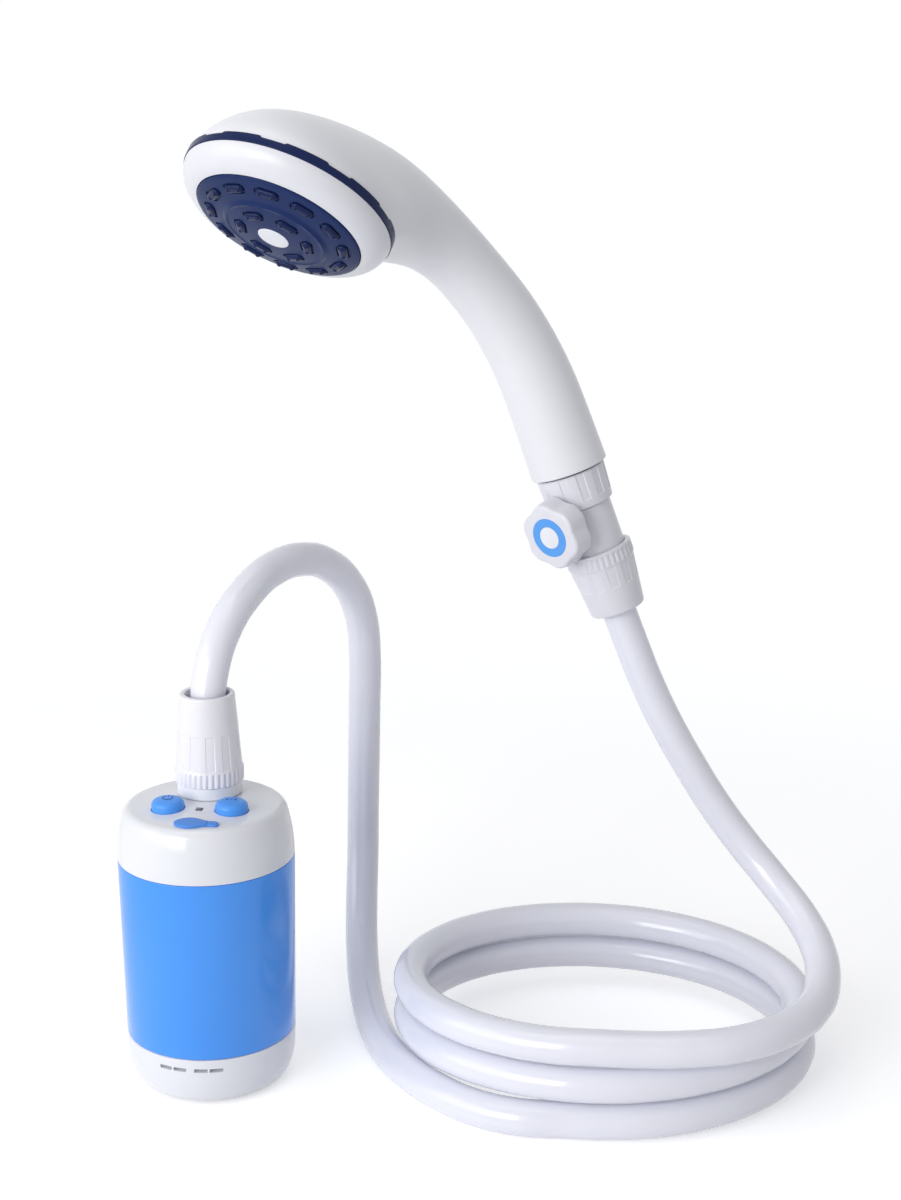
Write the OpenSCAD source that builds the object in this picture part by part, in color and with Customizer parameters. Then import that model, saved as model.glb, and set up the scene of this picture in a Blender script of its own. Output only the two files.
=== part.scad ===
// Camp shower pump: a rechargeable pump that stands in a bucket, a coiled hose and a shower handset.
// Millimetres, +Z up. The origin is the centre of the pump's base on the floor, its front is -Y.

/* [Pump casing] */
// Outside diameter at the top of the blue sleeve
casing_d = 69; // [64:0.5:84]
// How much narrower the sleeve is at its bottom edge
casing_taper = 2.2; // [0:0.1:3]
// Wall of the sleeve, cap and base
wall = 2.4; // [1.8:0.1:3]
// Height of the white base, up to the sleeve
base_h = 21.5; // [20:0.5:27]
// Height of the blue sleeve
sleeve_h = 72; // [70:0.5:90]
// Height of the white cap, from the sleeve to the middle of its top
cap_h = 22.1; // [21:0.1:28]
// Radius of the gentle crown on top of the cap
crown_r = 300; // [150:1:400]
// Rounding of the cap's shoulder, across and down
shoulder = [3.9, 4.6]; // [2:0.1:8]
// Height of the feet under the base
foot_h = 1.2; // [0.8:0.1:2]
// Rounding of the base's lower edge, across and up
base_round = [6.4, 13]; // [5:0.2:14]
// Water slits: width, height, and height of their middle above the floor
slit = [5.2, 1.5, 16.8]; // [1:0.1:18]

/* [Buttons and port] */
// Diameter of a button
button_d = 12.7; // [9:0.1:15.5]
// How far a button stands above the cap
button_h = 4.3; // [3:0.1:6]
// How far a button travels
button_travel = 1.2; // [0.5:0.1:1.4]
// Place of the buttons on the cap: sideways and forward
button_at = [12.4, 9.5]; // [8:0.1:14]
// Size of the indicator window
led_size = [2.6, 2.9]; // [1:0.1:4]
// Length and width of the charging port's cover
cover_size = [12.8, 7.8]; // [7:0.1:16]
// Thickness of the charging port's cover
cover_t = 1.2; // [1:0.1:2.4]

/* [Pump inside] */
// Diameter of the motor can
motor_d = 27.8; // [23:0.1:28.5]
// Length of the motor can
motor_h = 32; // [28:0.5:40]
// Diameter of the motor shaft
shaft_d = 3; // [2:0.1:4]
// Diameter of the impeller
impeller_d = 23; // [18:0.5:24]
// Diameter of a battery cell
cell_d = 18.2; // [14:0.1:18.6]
// Length of a battery cell
cell_h = 65; // [50:0.5:66]
// Outside diameter of the riser tube
riser_d = 11; // [9:0.1:11.5]

/* [Hose and nuts] */
// Outside diameter of the hose
hose_d = 14; // [12:0.5:14]
// Outside diameter of the half inch pipe thread
thread_d = 20.8; // [17:0.1:21]
// Long nut on the pump: length, width of its ribbed foot, width of its mouth
pump_nut = [35.4, 27, 21.6]; // [21:0.1:45]
// Short nut on the handset: length, width of its ribbed rim, width of its mouth
handset_nut = [26.8, 27.8, 22.6]; // [22:0.1:32]

/* [Handset] */
// Diameter of the valve body
valve_d = 23.2; // [21:0.1:23.4]
// Union nut: length, width at its top, width at its bottom
union_nut = [14.6, 28.2, 26.4]; // [13:0.1:34]
// Diameter of the handle's lower end
handle_d = 31.4; // [30:0.1:38]
// Diameter of the handle at its neck
neck_d = 26; // [22:0.1:30]
// Diameter of the head at its trim ring
head_d = 80.8; // [76:0.2:98]
// Height of the navy trim ring
trim_h = 3.5; // [3:0.1:6]
// Diameter of the spray plate
plate_d = 63.4; // [52:0.2:66]
// How far the spray plate bulges
plate_bulge = 4.1; // [2:0.1:6]
// Diameter of the valve knob over its lobes
knob_d = 28; // [24:0.2:34]
// Thickness of the valve knob
knob_h = 9.5; // [8:0.1:12]

/* [Hidden] */
$fn = 64;

// Clearances: turning shafts, pieces that move past each other, pieces glued or pressed together
run_gap = 0.05;
move_gap = 0.3;
fit_gap = 0.05;

// Levels of the pump, counted from the floor
casing_r = casing_d / 2;
foot_r = (casing_d - casing_taper) / 2;
bore_r = foot_r - wall;
floor_r = foot_r - base_round[0];
floor_t = 2;
cap_z = base_h + sleeve_h;
top_z = cap_z + cap_h;
neck_h = 6.5;
neck_r = bore_r + 1;
neck_t = 1.5;
gasket_t = 1;
under_z = top_z - 4.4;
board_t = 1.6;
board_z = under_z - 8.2;
skirt_h = 3.8;
skirt_r = bore_r - move_gap - 0.1;
skirt_t = 2.2;
plate_z = base_h + skirt_h + 0.7;
plate_t = 4;
floor_z = plate_z + plate_t;

// Height of the cap's crown at a distance from the middle
function crown_z(r) = top_z - r * r / (2 * crown_r);
function arc(c, r, a0, a1, n) =
    [for (i = [0:n]) let (a = a0 + (a1 - a0) * i / n) [c[0] + r[0] * cos(a), c[1] + r[1] * sin(a)]];

// Places on the cap and inside the pump
outlet_y = 10;
motor_y = riser_d / -2 - motor_d / 2 + outlet_y - 1.1;
cell_y = 6.5;
cell_reach = bore_r - cell_d / 2 - 0.8;
cell_x = sqrt(cell_reach * cell_reach - cell_y * cell_y);
led_y = -10.3;
port_y = 10 - casing_r;
port_z = crown_z(port_y);
port_tilt = asin(-port_y / crown_r);
port_hole = [9.8, 4.4];
hinge_x = cover_size[0] / 2 - 0.5;
slit_turn = -5.5;
foot_turn = -8;

// Hose ends: a flange on the hose's end, held by the nut's shoulder against a washer
tail_r = thread_d / 2 - 0.2;
tail_t = 3;
washer_t = 2;
engaged = 8;
nut_lip = 0.8;
mouth_r = tail_r - nut_lip;
nut_bore_r = thread_d / 2 + move_gap;
outlet_z = crown_z(outlet_y);
collar_h = 5;
collar_r = thread_d / 2 + 2.3;
pump_nut_z = outlet_z + collar_h + move_gap;
pump_thread_z = pump_nut_z + engaged;
pump_tail_z = pump_thread_z + washer_t;
pump_hose_z = pump_tail_z + tail_t;

// The handset's own frame: origin at the mouth of its hose nut, +Z up its handle, +X towards its face
handset_base = [158.3, 70, 177.7];
handset_turn = [13.3, 14.9, -134.6];
handset_axis = let (a = handset_turn)
    [cos(a[2]) * sin(a[1]) * cos(a[0]) + sin(a[2]) * sin(a[0]),
     sin(a[2]) * sin(a[1]) * cos(a[0]) - cos(a[2]) * sin(a[0]),
     cos(a[1]) * cos(a[0])];
tail_u = handset_nut[0] - 13.8;
valve_u = tail_u + tail_t + washer_t;
body_u = handset_nut[0] - 1.8;
union_u = body_u + 20.9;
clip_u = union_u + 2.6;
clip_t = 1.6;
union_top = union_u + union_nut[0];
handle_u = union_top + 0.8;
washer_u = clip_u + clip_t + 0.4;
valve_r = valve_d / 2;
valve_neck_r = valve_r - 1;
valve_bore_r = 2.7;
union_bore_r = union_nut[2] / 2 - 1.5;

// The valve's stem, square to the handle, and the knob on it
boss_r = 4.4;
stem_u = union_u - boss_r - 2 * move_gap;
stem_turn = 9;
plug_r = 3.6;
plug_reach = 8.2;
stem_r = 2;
knob_back = max(handset_nut[1], union_nut[1]) / 2 + 0.6;
boss_reach = knob_back - 0.6;
knob_face = knob_back + knob_h;
ring_r = [4.6, 8.1];

// The handle bends from straight to the angle of the head
handle_straight = 28;
handle_bend_r = 134;
head_tilt = 50.8;
head_at = [90.6, 0, 190.2];
handle_wall = 2.4;
head_r = head_d / 2;
plate_r = plate_d / 2;
trim_z = 10.3;
plate_edge_z = 1.4;
shell_z = trim_z + trim_h;
cavity_z = shell_z + 1;

// Route of the hose from the pump, round the coil and up to the handset
coil_at = [156, 27.5];
coil_semi = [78.5, 67.5];
coil_pitch = 15;
coil_loops = 2;
coil_rings = 24;
hose_r = hose_d / 2;
coil_low = hose_r;
coil_high = coil_low + coil_loops * coil_pitch;
coil_front = coil_at[1] - coil_semi[1];
coil_start = [coil_at[0] - hose_d, coil_front, coil_low];
coil_end = [coil_at[0] + hose_d, coil_front, coil_high];
pump_route = concat([[0, outlet_y, pump_hose_z]],
    [[0, 10, 146], [1, 12.5, 162], [5, 21, 178], [12, 34.5, 190], [20, 50.5, 196],
     [29, 67.5, 196], [37, 83.5, 190], [44, 96.5, 178], [48, 105, 162], [49, 108, 144],
     [48.5, 108.5, 120], [48, 108.5, 97], [47.5, 108, 74], [47.5, 105, 53], [48, 95.5, 34.5],
     [49.5, 81, 20], [52.5, 63, 10.5], [56.5, 44, 7.2], [61.5, 25, 7], [68.5, 7.5, 7],
     [78.5, -9, 7], [91.5, -23.5, 7], [107.5, -34.5, 7], [125, -39.8, 7]],
    [coil_start]);
handset_route = concat([coil_end],
    [[188.5, -39, 37.5], [208.5, -33.5, 38], [225.5, -21, 38.5], [237, -4.5, 39.5], [242, 14, 42],
     [241.5, 32.5, 47.5], [235, 48.5, 55.5], [225, 60, 65], [212.5, 67.5, 78], [200, 70.5, 94],
     [189.5, 71, 110.5], [179.5, 71, 128], [171, 71, 145.5], [164.5, 70.5, 161.5]],
    [handset_base, handset_base + (tail_u) * handset_axis]);
coil_route = concat([coil_start],
    [for (i = [0:coil_loops * coil_rings])
        let (a = 360 * i / coil_rings - 90)
        [coil_at[0] + coil_semi[0] * cos(a), coil_at[1] + coil_semi[1] * sin(a),
         coil_low + coil_pitch * i / coil_rings]],
    [coil_end]);

// The least gap between one turn of the coil and the next, measured on its points
coil_gap = min([for (i = [0:len(coil_route) - 1], j = [i + coil_rings / 2:1:len(coil_route) - 1])
    norm(coil_route[j] - coil_route[i])]) - hose_d;
echo(coil_least_gap = coil_gap);

// Sweep of a round section along points: rings square to the path, joined by triangles
function unit(v) = v / norm(v);
function headings(p, first, last) =
    [for (i = [0:len(p) - 1])
        i == 0 ? first : i == len(p) - 1 ? last : unit(unit(p[i + 1] - p[i]) + unit(p[i] - p[i - 1]))];
function carried(t, n, i = 0) =
    i == len(t) ? [] : let (m = unit(n - (n * t[i]) * t[i])) concat([m], carried(t, m, i + 1));
function at(r, i) = is_list(r) ? r[i] : r;

module swept(p, r, sides, first, last, side) {
    t = headings(p, first, last);
    n = carried(t, side);
    rings = len(p);
    points = [for (i = [0:rings - 1], k = [0:sides - 1])
        let (a = 360 * k / sides)
        p[i] + at(r, i) * (cos(a) * n[i] + sin(a) * cross(t[i], n[i]))];
    walls = [for (i = [0:rings - 2], k = [0:sides - 1])
        let (a = i * sides + k, b = i * sides + (k + 1) % sides)
        each [[a, a + sides, b], [b, a + sides, b + sides]]];
    near = [[for (k = [0:sides - 1]) k]];
    far = [[for (k = [sides - 1:-1:0]) (rings - 1) * sides + k]];
    polyhedron(points, concat(walls, near, far));
}

// A slot outline: two round ends joined by straight sides
module slot_outline(size) {
    r = size[1] / 2;
    half = size[0] / 2 - r;
    square([2 * half, 2 * r], center = true);
    for (s = [-1, 1]) translate([s * half, 0]) circle(r);
}

module ring(r_out, r_in, h) {
    difference() {
        cylinder(r = r_out, h = h);
        translate([0, 0, -1]) cylinder(r = r_in, h = h + 2);
    }
}

module o_ring(r, t) {
    rotate_extrude() translate([r, 0]) circle(t, $fn = 24);
}

module at_motor(z) { translate([0, motor_y, z]) children(); }
module at_outlet(z) { translate([0, outlet_y, z]) children(); }
module at_buttons() { for (s = [-1, 1]) translate([s * button_at[0], -button_at[1], 0]) children(); }
module at_button(s) { translate([s * button_at[0], -button_at[1], 0]) children(); }
module at_cells() { for (s = [-1, 1]) translate([s * cell_x, cell_y, 0]) children(); }
module at_port() { translate([0, port_y, port_z]) rotate([port_tilt, 0, 0]) children(); }
module at_handset(u) { translate(handset_base) rotate(handset_turn) translate([0, 0, u]) children(); }
module at_stem() { at_handset(stem_u) rotate([0, 0, stem_turn]) rotate([0, 90, 0]) children(); }
module at_head() { at_handset(0) translate(head_at) rotate([0, -head_tilt, 0]) children(); }

// PUMP CASING

bayonet_r = skirt_r - skirt_t;
lug_t = 2;
lug_arc = 20;

module lug(r_in, r_out, z) {
    translate([0, 0, z]) rotate([0, 0, -lug_arc / 2])
        rotate_extrude(angle = lug_arc) translate([r_in, 0]) square([r_out - r_in, lug_t]);
}

module base_strainer() {
    inner = foot_r - wall;
    round_z = foot_h + base_round[1];
    side_draft = 0.3;
    slits = 4;
    slit_step = [0, 6, 14.5, 20.5];
    color("whitesmoke") difference() {
        union() {
            rotate_extrude() polygon(concat(
                [[0, foot_h]],
                arc([floor_r, round_z], [base_round[0] - side_draft, base_round[1]], -90, 0, 10),
                [[foot_r, base_h - move_gap], [skirt_r, base_h - move_gap],
                 [skirt_r, base_h + skirt_h], [bayonet_r, base_h + skirt_h],
                 [bayonet_r, base_h - 4], [inner, base_h - 6]],
                arc([floor_r, round_z], [inner - floor_r, base_round[1] - floor_t], 0, -90, 8),
                [[0, foot_h + floor_t]]));
            for (a = [0:90:270]) rotate([0, 0, a + foot_turn]) translate([floor_r - 3, 0, 0])
                cylinder(r = 1.6, h = foot_h + 1);
            cylinder(r = 6, h = foot_h + 1);
            for (a = [0:120:240]) rotate([0, 0, a]) lug(bayonet_r - 1.7, bayonet_r + 0.6, base_h + 1);
        }
        for (g = [0:120:240], k = slit_step)
            rotate([0, 0, g + slit_turn - 90 + (k - slit_step[slits - 1] / 2) / foot_r * 180 / PI])
                translate([foot_r, 0, slit[2]])
                    cube([4 * wall, slit[0], slit[1]], center = true);
    }
}

module filter_pad() {
    color("dimgray") translate([0, 0, foot_h + floor_t]) ring(floor_r - 1, 4, 5);
}

module sleeve() {
    color("dodgerblue") rotate_extrude() polygon([
        [bore_r, base_h], [foot_r, base_h], [casing_r, cap_z], [neck_r, cap_z], [neck_r, cap_z + neck_h],
        [neck_r - neck_t, cap_z + neck_h], [neck_r - neck_t, cap_z - 3], [bore_r, cap_z - 4]]);
}

module cap_gasket() {
    color("dimgray") translate([0, 0, cap_z + neck_h]) ring(neck_r, neck_r - neck_t, gasket_t);
}

post_at = [casing_r - 11, 6];
post_r = 2.2;
screw_r = 1;

module top_cap() {
    // The side leans in as it rises, and meets the shoulder's curve at about the same slant
    side_in = 2.3;
    slant = 15;
    flat_r = casing_r - side_in - shoulder[0] * cos(slant);
    shoulder_z = crown_z(flat_r) - shoulder[1];
    side_h = shoulder_z + shoulder[1] * sin(slant) - cap_z;
    ledge_z = cap_z + neck_h + gasket_t;
    crown_steps = 8;
    side_steps = 6;
    color("whitesmoke") difference() {
        union() {
            rotate_extrude() polygon(concat(
                [[0, under_z], [flat_r - 1.5, under_z], [neck_r - neck_t, ledge_z + 2],
                 [neck_r - neck_t, ledge_z], [neck_r + fit_gap, ledge_z], [neck_r + fit_gap, cap_z]],
                [for (i = [0:side_steps - 1]) let (t = i / side_steps)
                    [casing_r - side_in * t * t, cap_z + side_h * t]],
                arc([flat_r, shoulder_z], shoulder, slant, 90, 10),
                [for (i = [crown_steps - 1:-1:0]) let (r = flat_r * i / crown_steps) [r, crown_z(r)]]));
            for (s = [-1, 1]) translate([s * post_at[0], -post_at[1], board_z + board_t])
                cylinder(r = post_r, h = under_z - board_z - board_t + 0.5);
        }
        at_outlet(under_z - 1) cylinder(r = outlet_stem_r + fit_gap, h = cap_h);
        at_buttons() translate([0, 0, under_z - 1]) cylinder(d = button_d + 2 * move_gap, h = cap_h);
        translate([0, led_y, top_z])
            cube([led_size[0] + 0.2, led_size[1] + 0.2, 4 * wall + 4], center = true);
        at_port() translate([0, 0, -6]) linear_extrude(12) slot_outline(port_hole);
        at_port() translate([tab_x, 0, -6]) cylinder(r = tab_pin_r + fit_gap, h = 12);
        for (s = [-1, 1]) translate([s * post_at[0], -post_at[1], board_z])
            cylinder(r = screw_r + fit_gap, h = under_z - board_z - 1);
    }
}

// BUTTONS, INDICATOR AND CHARGING PORT

button_foot = under_z - 1.5;
switch_h = 3.5;

module button(s) {
    r = button_d / 2;
    top = crown_z(norm(button_at)) + button_h;
    round = 2.2;
    color("dodgerblue") at_button(s) rotate_extrude() polygon(concat(
        [[0, button_foot], [r + 1, button_foot], [r + 1, button_foot + 1.2], [r, button_foot + 1.2]],
        arc([r - round, top - 0.5 - round], [round, round], 0, 78, 8),
        [[0, top]]));
}
module power_button() { button(-1); }
module mode_button() { button(1); }

module plunger(s) {
    color("dimgray") at_button(s) translate([0, 0, button_foot - 3.1]) cylinder(r = 1.7, h = 3.1);
}
module power_plunger() { plunger(-1); }
module mode_plunger() { plunger(1); }

module button_switches() {
    color("darkslategray") at_buttons() translate([0, 0, board_z + board_t]) difference() {
        translate([-3, -3, 0]) cube([6, 6, switch_h]);
        translate([0, 0, 0.4]) cylinder(r = 1.7 + 0.1, h = switch_h);
    }
}

module circuit_board() {
    board_r = neck_r - neck_t - 3.5;
    color("darkgreen") difference() {
        union() {
            translate([0, 0, board_z]) intersection() {
                cylinder(r = board_r, h = board_t);
                translate([-board_r, -board_r, 0]) cube([2 * board_r, board_r + 4, board_t]);
            }
            translate([-1.5, led_y - 1, board_z]) cube([3, 2, board_t + 1.2]);
        }
        at_outlet(board_z - 1) cylinder(r = outlet_stem_r + 1.5, h = 5);
        for (s = [-1, 1]) translate([s * post_at[0], -post_at[1], board_z - 1])
            cylinder(r = screw_r + 0.1, h = 5);
    }
}

module board_screws() {
    color("silver") for (s = [-1, 1]) translate([s * post_at[0], -post_at[1], board_z - 1.4]) {
        cylinder(r = 1.9, h = 1.4);
        cylinder(r = screw_r, h = 6.5);
    }
}

module led_window() {
    foot = board_z + board_t + 1.2;
    color("dimgray") translate([-led_size[0] / 2, led_y - led_size[1] / 2, foot])
        cube([led_size[0], led_size[1], crown_z(led_y) - foot + 0.2]);
}

// The socket stands on the circuit board, under the cap's slanted hole
module charge_socket() {
    half_w = port_hole[1] / 2 - 0.3;
    low = (board_z + board_t + 0.2 - port_z + half_w * sin(port_tilt)) / cos(port_tilt);
    depth = -2.6 - low;
    color("silver") at_port() translate([0, 0, low]) difference() {
        linear_extrude(depth) slot_outline([port_hole[0] - 0.6, port_hole[1] - 0.6]);
        translate([0, 0, 1]) linear_extrude(depth) difference() {
            slot_outline([port_hole[0] - 1.4, port_hole[1] - 1.4]);
            square([6.4, 0.7], center = true);
        }
    }
}

cover_lift = 0.3;
tab_x = hinge_x + 2.4;
tab_pin_r = 1.1;

module port_cover() {
    color("dodgerblue") at_port() {
        translate([-0.5, 0, cover_lift]) linear_extrude(cover_t) intersection() {
            slot_outline(cover_size);
            translate([-cover_size[0], -cover_size[1]]) square([cover_size[0] + hinge_x, 2 * cover_size[1]]);
        }
        translate([0, 0, -1.6]) linear_extrude(1.6 + cover_lift)
            slot_outline([port_hole[0] - 2, port_hole[1] - 1.2]);
    }
}

module cover_tab() {
    color("dodgerblue") at_port() {
        translate([hinge_x + 0.3, -1.7, cover_lift]) cube([2.5, 3.4, cover_t - 0.2]);
        translate([hinge_x + 2.8, 0, cover_lift]) cylinder(r = 1.7, h = cover_t - 0.2);
        translate([tab_x, 0, -2]) cylinder(r = tab_pin_r, h = 2 + cover_lift + 0.2);
    }
}

// PUMP INSIDE

shaft_r = shaft_d / 2;
seal_r = shaft_r + 2;
riser_r = riser_d / 2;
riser_bore_r = riser_r - 1.5;
volute_r = impeller_d / 2 + 3;
volute_z = foot_h + 8;
outlet_stem_r = riser_r + 2.4;

module bulkhead() {
    groove = 1.9;
    collar_r_out = bayonet_r - 1.7 - move_gap;
    collar_t = 1.2;
    tab_z = base_h + 1 - move_gap - lug_t;
    color("gainsboro") {
        difference() {
            union() {
                translate([0, 0, plate_z]) cylinder(r = bore_r - fit_gap, h = plate_t);
                at_outlet(floor_z - 0.5) cylinder(r = riser_r + 0.9, h = 5.5);
            }
            translate([0, 0, plate_z + 1]) difference() {
                cylinder(r = bore_r + 1, h = 2);
                translate([0, 0, -1]) cylinder(r = bore_r - groove, h = 4);
            }
            at_motor(plate_z - 1) cylinder(r = seal_r + fit_gap, h = plate_t + 2);
            at_outlet(plate_z - 1) cylinder(r = riser_bore_r, h = plate_t + 2);
            at_outlet(floor_z) cylinder(r = riser_r + fit_gap, h = 8);
        }
        difference() {
            union() {
                translate([0, 0, tab_z]) cylinder(r = collar_r_out, h = plate_z - tab_z);
                for (a = [0:120:240]) rotate([0, 0, a])
                    lug(collar_r_out - 0.6, bayonet_r - move_gap - 0.1, tab_z);
            }
            translate([0, 0, tab_z - 1]) cylinder(r = collar_r_out - collar_t, h = plate_z - tab_z + 2);
        }
    }
}

module bulkhead_seal() {
    color("dimgray") translate([0, 0, plate_z + 2]) o_ring(bore_r - 1, 0.9);
}

module volute() {
    chamber_r = volute_r - 1.9;
    duct = [riser_d + 1, 9];
    duct_top = plate_z;
    color("gainsboro") difference() {
        union() {
            at_motor(volute_z) cylinder(r = volute_r, h = plate_z - volute_z);
            translate([-duct[0] / 2, motor_y, duct_top - duct[1] - 2])
                cube([duct[0], outlet_y - motor_y + riser_r + 1, duct[1] + 2]);
        }
        at_motor(volute_z + 2) cylinder(r = chamber_r, h = plate_z);
        at_motor(volute_z - 1) cylinder(r = 5, h = 5);
        translate([1.8 - duct[0] / 2, motor_y, duct_top - duct[1]])
            cube([duct[0] - 3.6, outlet_y - motor_y + riser_r - 1, duct[1] + 1]);
    }
}

module impeller() {
    vanes = 6;
    low = volute_z + 3;
    color("white") at_motor(low) difference() {
        union() {
            translate([0, 0, 5]) cylinder(d = impeller_d, h = 1.6);
            cylinder(r = shaft_r + 2, h = 8);
            for (k = [0:vanes - 1]) rotate([0, 0, k * 360 / vanes])
                translate([shaft_r + 1, -0.7, 0.6]) cube([impeller_d / 2 - shaft_r - 1.6, 1.4, 5]);
        }
        translate([0, 0, -1]) cylinder(r = shaft_r + fit_gap, h = 12);
    }
}

module motor_shaft() {
    low = volute_z + 3;
    color("silver") at_motor(low) cylinder(r = shaft_r, h = floor_z + motor_h + 2 - low);
}

module shaft_seal() {
    color("dimgray") at_motor(plate_z + 0.3) ring(seal_r, shaft_r + run_gap, plate_t - 0.6);
}

module motor_can() {
    color("silver") at_motor(floor_z) difference() {
        cylinder(d = motor_d, h = motor_h);
        translate([0, 0, -1]) cylinder(r = shaft_r + run_gap, h = motor_h + 2);
    }
}

module motor_endcap() {
    color("dimgray") at_motor(floor_z + motor_h) difference() {
        union() {
            cylinder(d = motor_d - 1, h = 4);
            for (s = [-1, 1]) translate([s * 8 - 1.2, -0.3, 3]) cube([2.4, 0.6, 4]);
        }
        translate([0, 0, -1]) cylinder(r = shaft_r + 0.5, h = 4);
    }
}

module battery_cells() {
    color("mediumseagreen") at_cells() translate([0, 0, floor_z + 1.5]) cylinder(d = cell_d, h = cell_h);
}

module battery_cradles() {
    cup_r = cell_d / 2 + 1.3;
    color("gainsboro") intersection() {
        translate([0, 0, floor_z]) cylinder(r = bore_r - 0.3, h = 20);
        difference() {
            at_cells() translate([0, 0, floor_z]) difference() {
                cylinder(r = cup_r, h = 9);
                translate([0, 0, 1.5]) cylinder(d = cell_d + 2 * fit_gap, h = 9);
            }
            at_motor(floor_z - 1) cylinder(d = motor_d + 0.6, h = 20);
        }
    }
}

module battery_tab() {
    color("silver") translate([-cell_x - 3, outlet_y - riser_r - 5.5, floor_z + 1.5 + cell_h])
        cube([2 * cell_x + 6, 5, 0.4]);
}

module riser_tube() {
    color("white") at_outlet(floor_z) ring(riser_r, riser_bore_r, outlet_z - 12 - floor_z);
}

// OUTLET AND THE HOSE'S PUMP END

module outlet_spigot() {
    socket_z = outlet_z - 16;
    color("gainsboro") at_outlet(0) difference() {
        union() {
            translate([0, 0, outlet_z + 0.5]) cylinder(r = collar_r, h = collar_h - 0.5);
            translate([0, 0, socket_z]) cylinder(r = outlet_stem_r, h = outlet_z - socket_z + 1);
            translate([0, 0, outlet_z + 1]) cylinder(d = thread_d, h = pump_thread_z - outlet_z - 1);
        }
        translate([0, 0, socket_z - 1]) cylinder(r = riser_r + fit_gap, h = 5 + 0.1);
        translate([0, 0, socket_z]) cylinder(r = riser_bore_r, h = 60);
    }
}

module outlet_locknut() {
    color("gainsboro") at_outlet(under_z - 3.2) difference() {
        cylinder(r = outlet_stem_r + 3.4, h = 3.1, $fn = 6);
        translate([0, 0, -1]) cylinder(r = outlet_stem_r + fit_gap, h = 6);
    }
}

module outlet_washer() {
    color("dimgray") at_outlet(pump_thread_z) ring(tail_r, riser_bore_r, washer_t);
}

module pump_hose_tail() {
    color("gainsboro") at_outlet(pump_tail_z) ring(tail_r, riser_bore_r, tail_t);
}

// A hose nut: a ribbed foot, a tapering body with finger flutes, and an open mouth for the hose.
// reach is the height of the shoulder that pulls the hose's flange down.
module hose_nut(size, reach, rim_bore_r, rim_depth) {
    foot = size[1] / 2;
    mouth = size[2] / 2;
    band = 7;
    ribs = 36;
    flutes = 12;
    flute = [0.4, 3.7, size[0] / 2.6];
    waist = foot - 1;
    flare = 0.4;
    body_z = band + 1.5;
    taper = atan((waist - flare - mouth) / (size[0] - 1.2 - body_z));
    difference() {
        union() {
            rotate_extrude() polygon(concat(
                [[nut_bore_r - 0.5, 0], [waist, 0], [waist, band], [waist - flare, body_z]],
                arc([mouth - 1.2, size[0] - 1.2], [1.2, 1.2], 0, 90, 6),
                [[nut_bore_r - 2.5, size[0]]]));
            linear_extrude(band) polygon([for (i = [0:2 * ribs - 1])
                (i % 2 == 0 ? foot : foot - 0.8) * [cos(180 * i / ribs), sin(180 * i / ribs)]]);
        }
        for (k = [0:flutes - 1]) rotate([0, 0, 360 * k / flutes]) translate([waist - flare, 0, body_z])
            rotate([0, -taper, 0]) translate([-flute[0], -flute[1] / 2, 0]) cube([3, flute[1], flute[2]]);
        translate([0, 0, -1]) cylinder(r = nut_bore_r, h = reach + 1);
        translate([0, 0, -1]) cylinder(r = rim_bore_r, h = rim_depth + 1);
        cylinder(r = mouth_r, h = size[0] + 1);
    }
}

module pump_hose_nut() {
    reach = pump_hose_z - pump_nut_z + move_gap;
    color("white") at_outlet(pump_nut_z) hose_nut(pump_nut, reach, nut_bore_r, 1);
}

module hose_pump_run() {
    color("lavender") swept(pump_route, hose_r, 10, [0, 0, 1], [1, 0, 0], [1, 0, 0]);
}

module hose_coil() {
    color("lavender") swept(coil_route, hose_r, 6, [1, 0, 0], [1, 0, 0], [0, 1, 0]);
}

module hose_handset_run() {
    color("lavender") swept(handset_route, hose_r, 10, [1, 0, 0], handset_axis, [0, 0, 1]);
}

// HANDSET: HOSE NUT, VALVE AND UNION

module handset_hose_tail() {
    color("gainsboro") at_handset(tail_u) ring(tail_r, valve_bore_r, tail_t);
}

module handset_washer() {
    color("dimgray") at_handset(tail_u + tail_t) ring(tail_r, valve_bore_r, washer_t);
}

module handset_hose_nut() {
    reach = handset_nut[0] - tail_u + move_gap;
    color("white") at_handset(handset_nut[0]) mirror([0, 0, 1])
        hose_nut(handset_nut, reach, valve_r + move_gap, handset_nut[0] - body_u + move_gap);
}

module valve_body() {
    neck_top = clip_u + clip_t + 0.4;
    color("white") difference() {
        union() {
            at_handset(valve_u) cylinder(d = thread_d, h = body_u - valve_u + 1);
            at_handset(body_u) cylinder(r = valve_r, h = union_u - move_gap - body_u);
            at_handset(union_u - 1) cylinder(r = valve_neck_r, h = neck_top - union_u + 1);
            at_stem() cylinder(r = boss_r, h = boss_reach);
        }
        at_handset(valve_u - 1) cylinder(r = valve_bore_r, h = neck_top - valve_u + 2);
        at_handset(clip_u) ring(valve_neck_r + 1, valve_neck_r - 1, clip_t);
        at_stem() translate([0, 0, -plug_reach])
            cylinder(r = plug_r + run_gap, h = plug_reach + boss_reach + 1);
    }
}

module union_clip() {
    color("silver") at_handset(clip_u + 0.1) ring(valve_neck_r + 0.8, valve_neck_r - 0.9, clip_t - 0.2);
}

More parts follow.
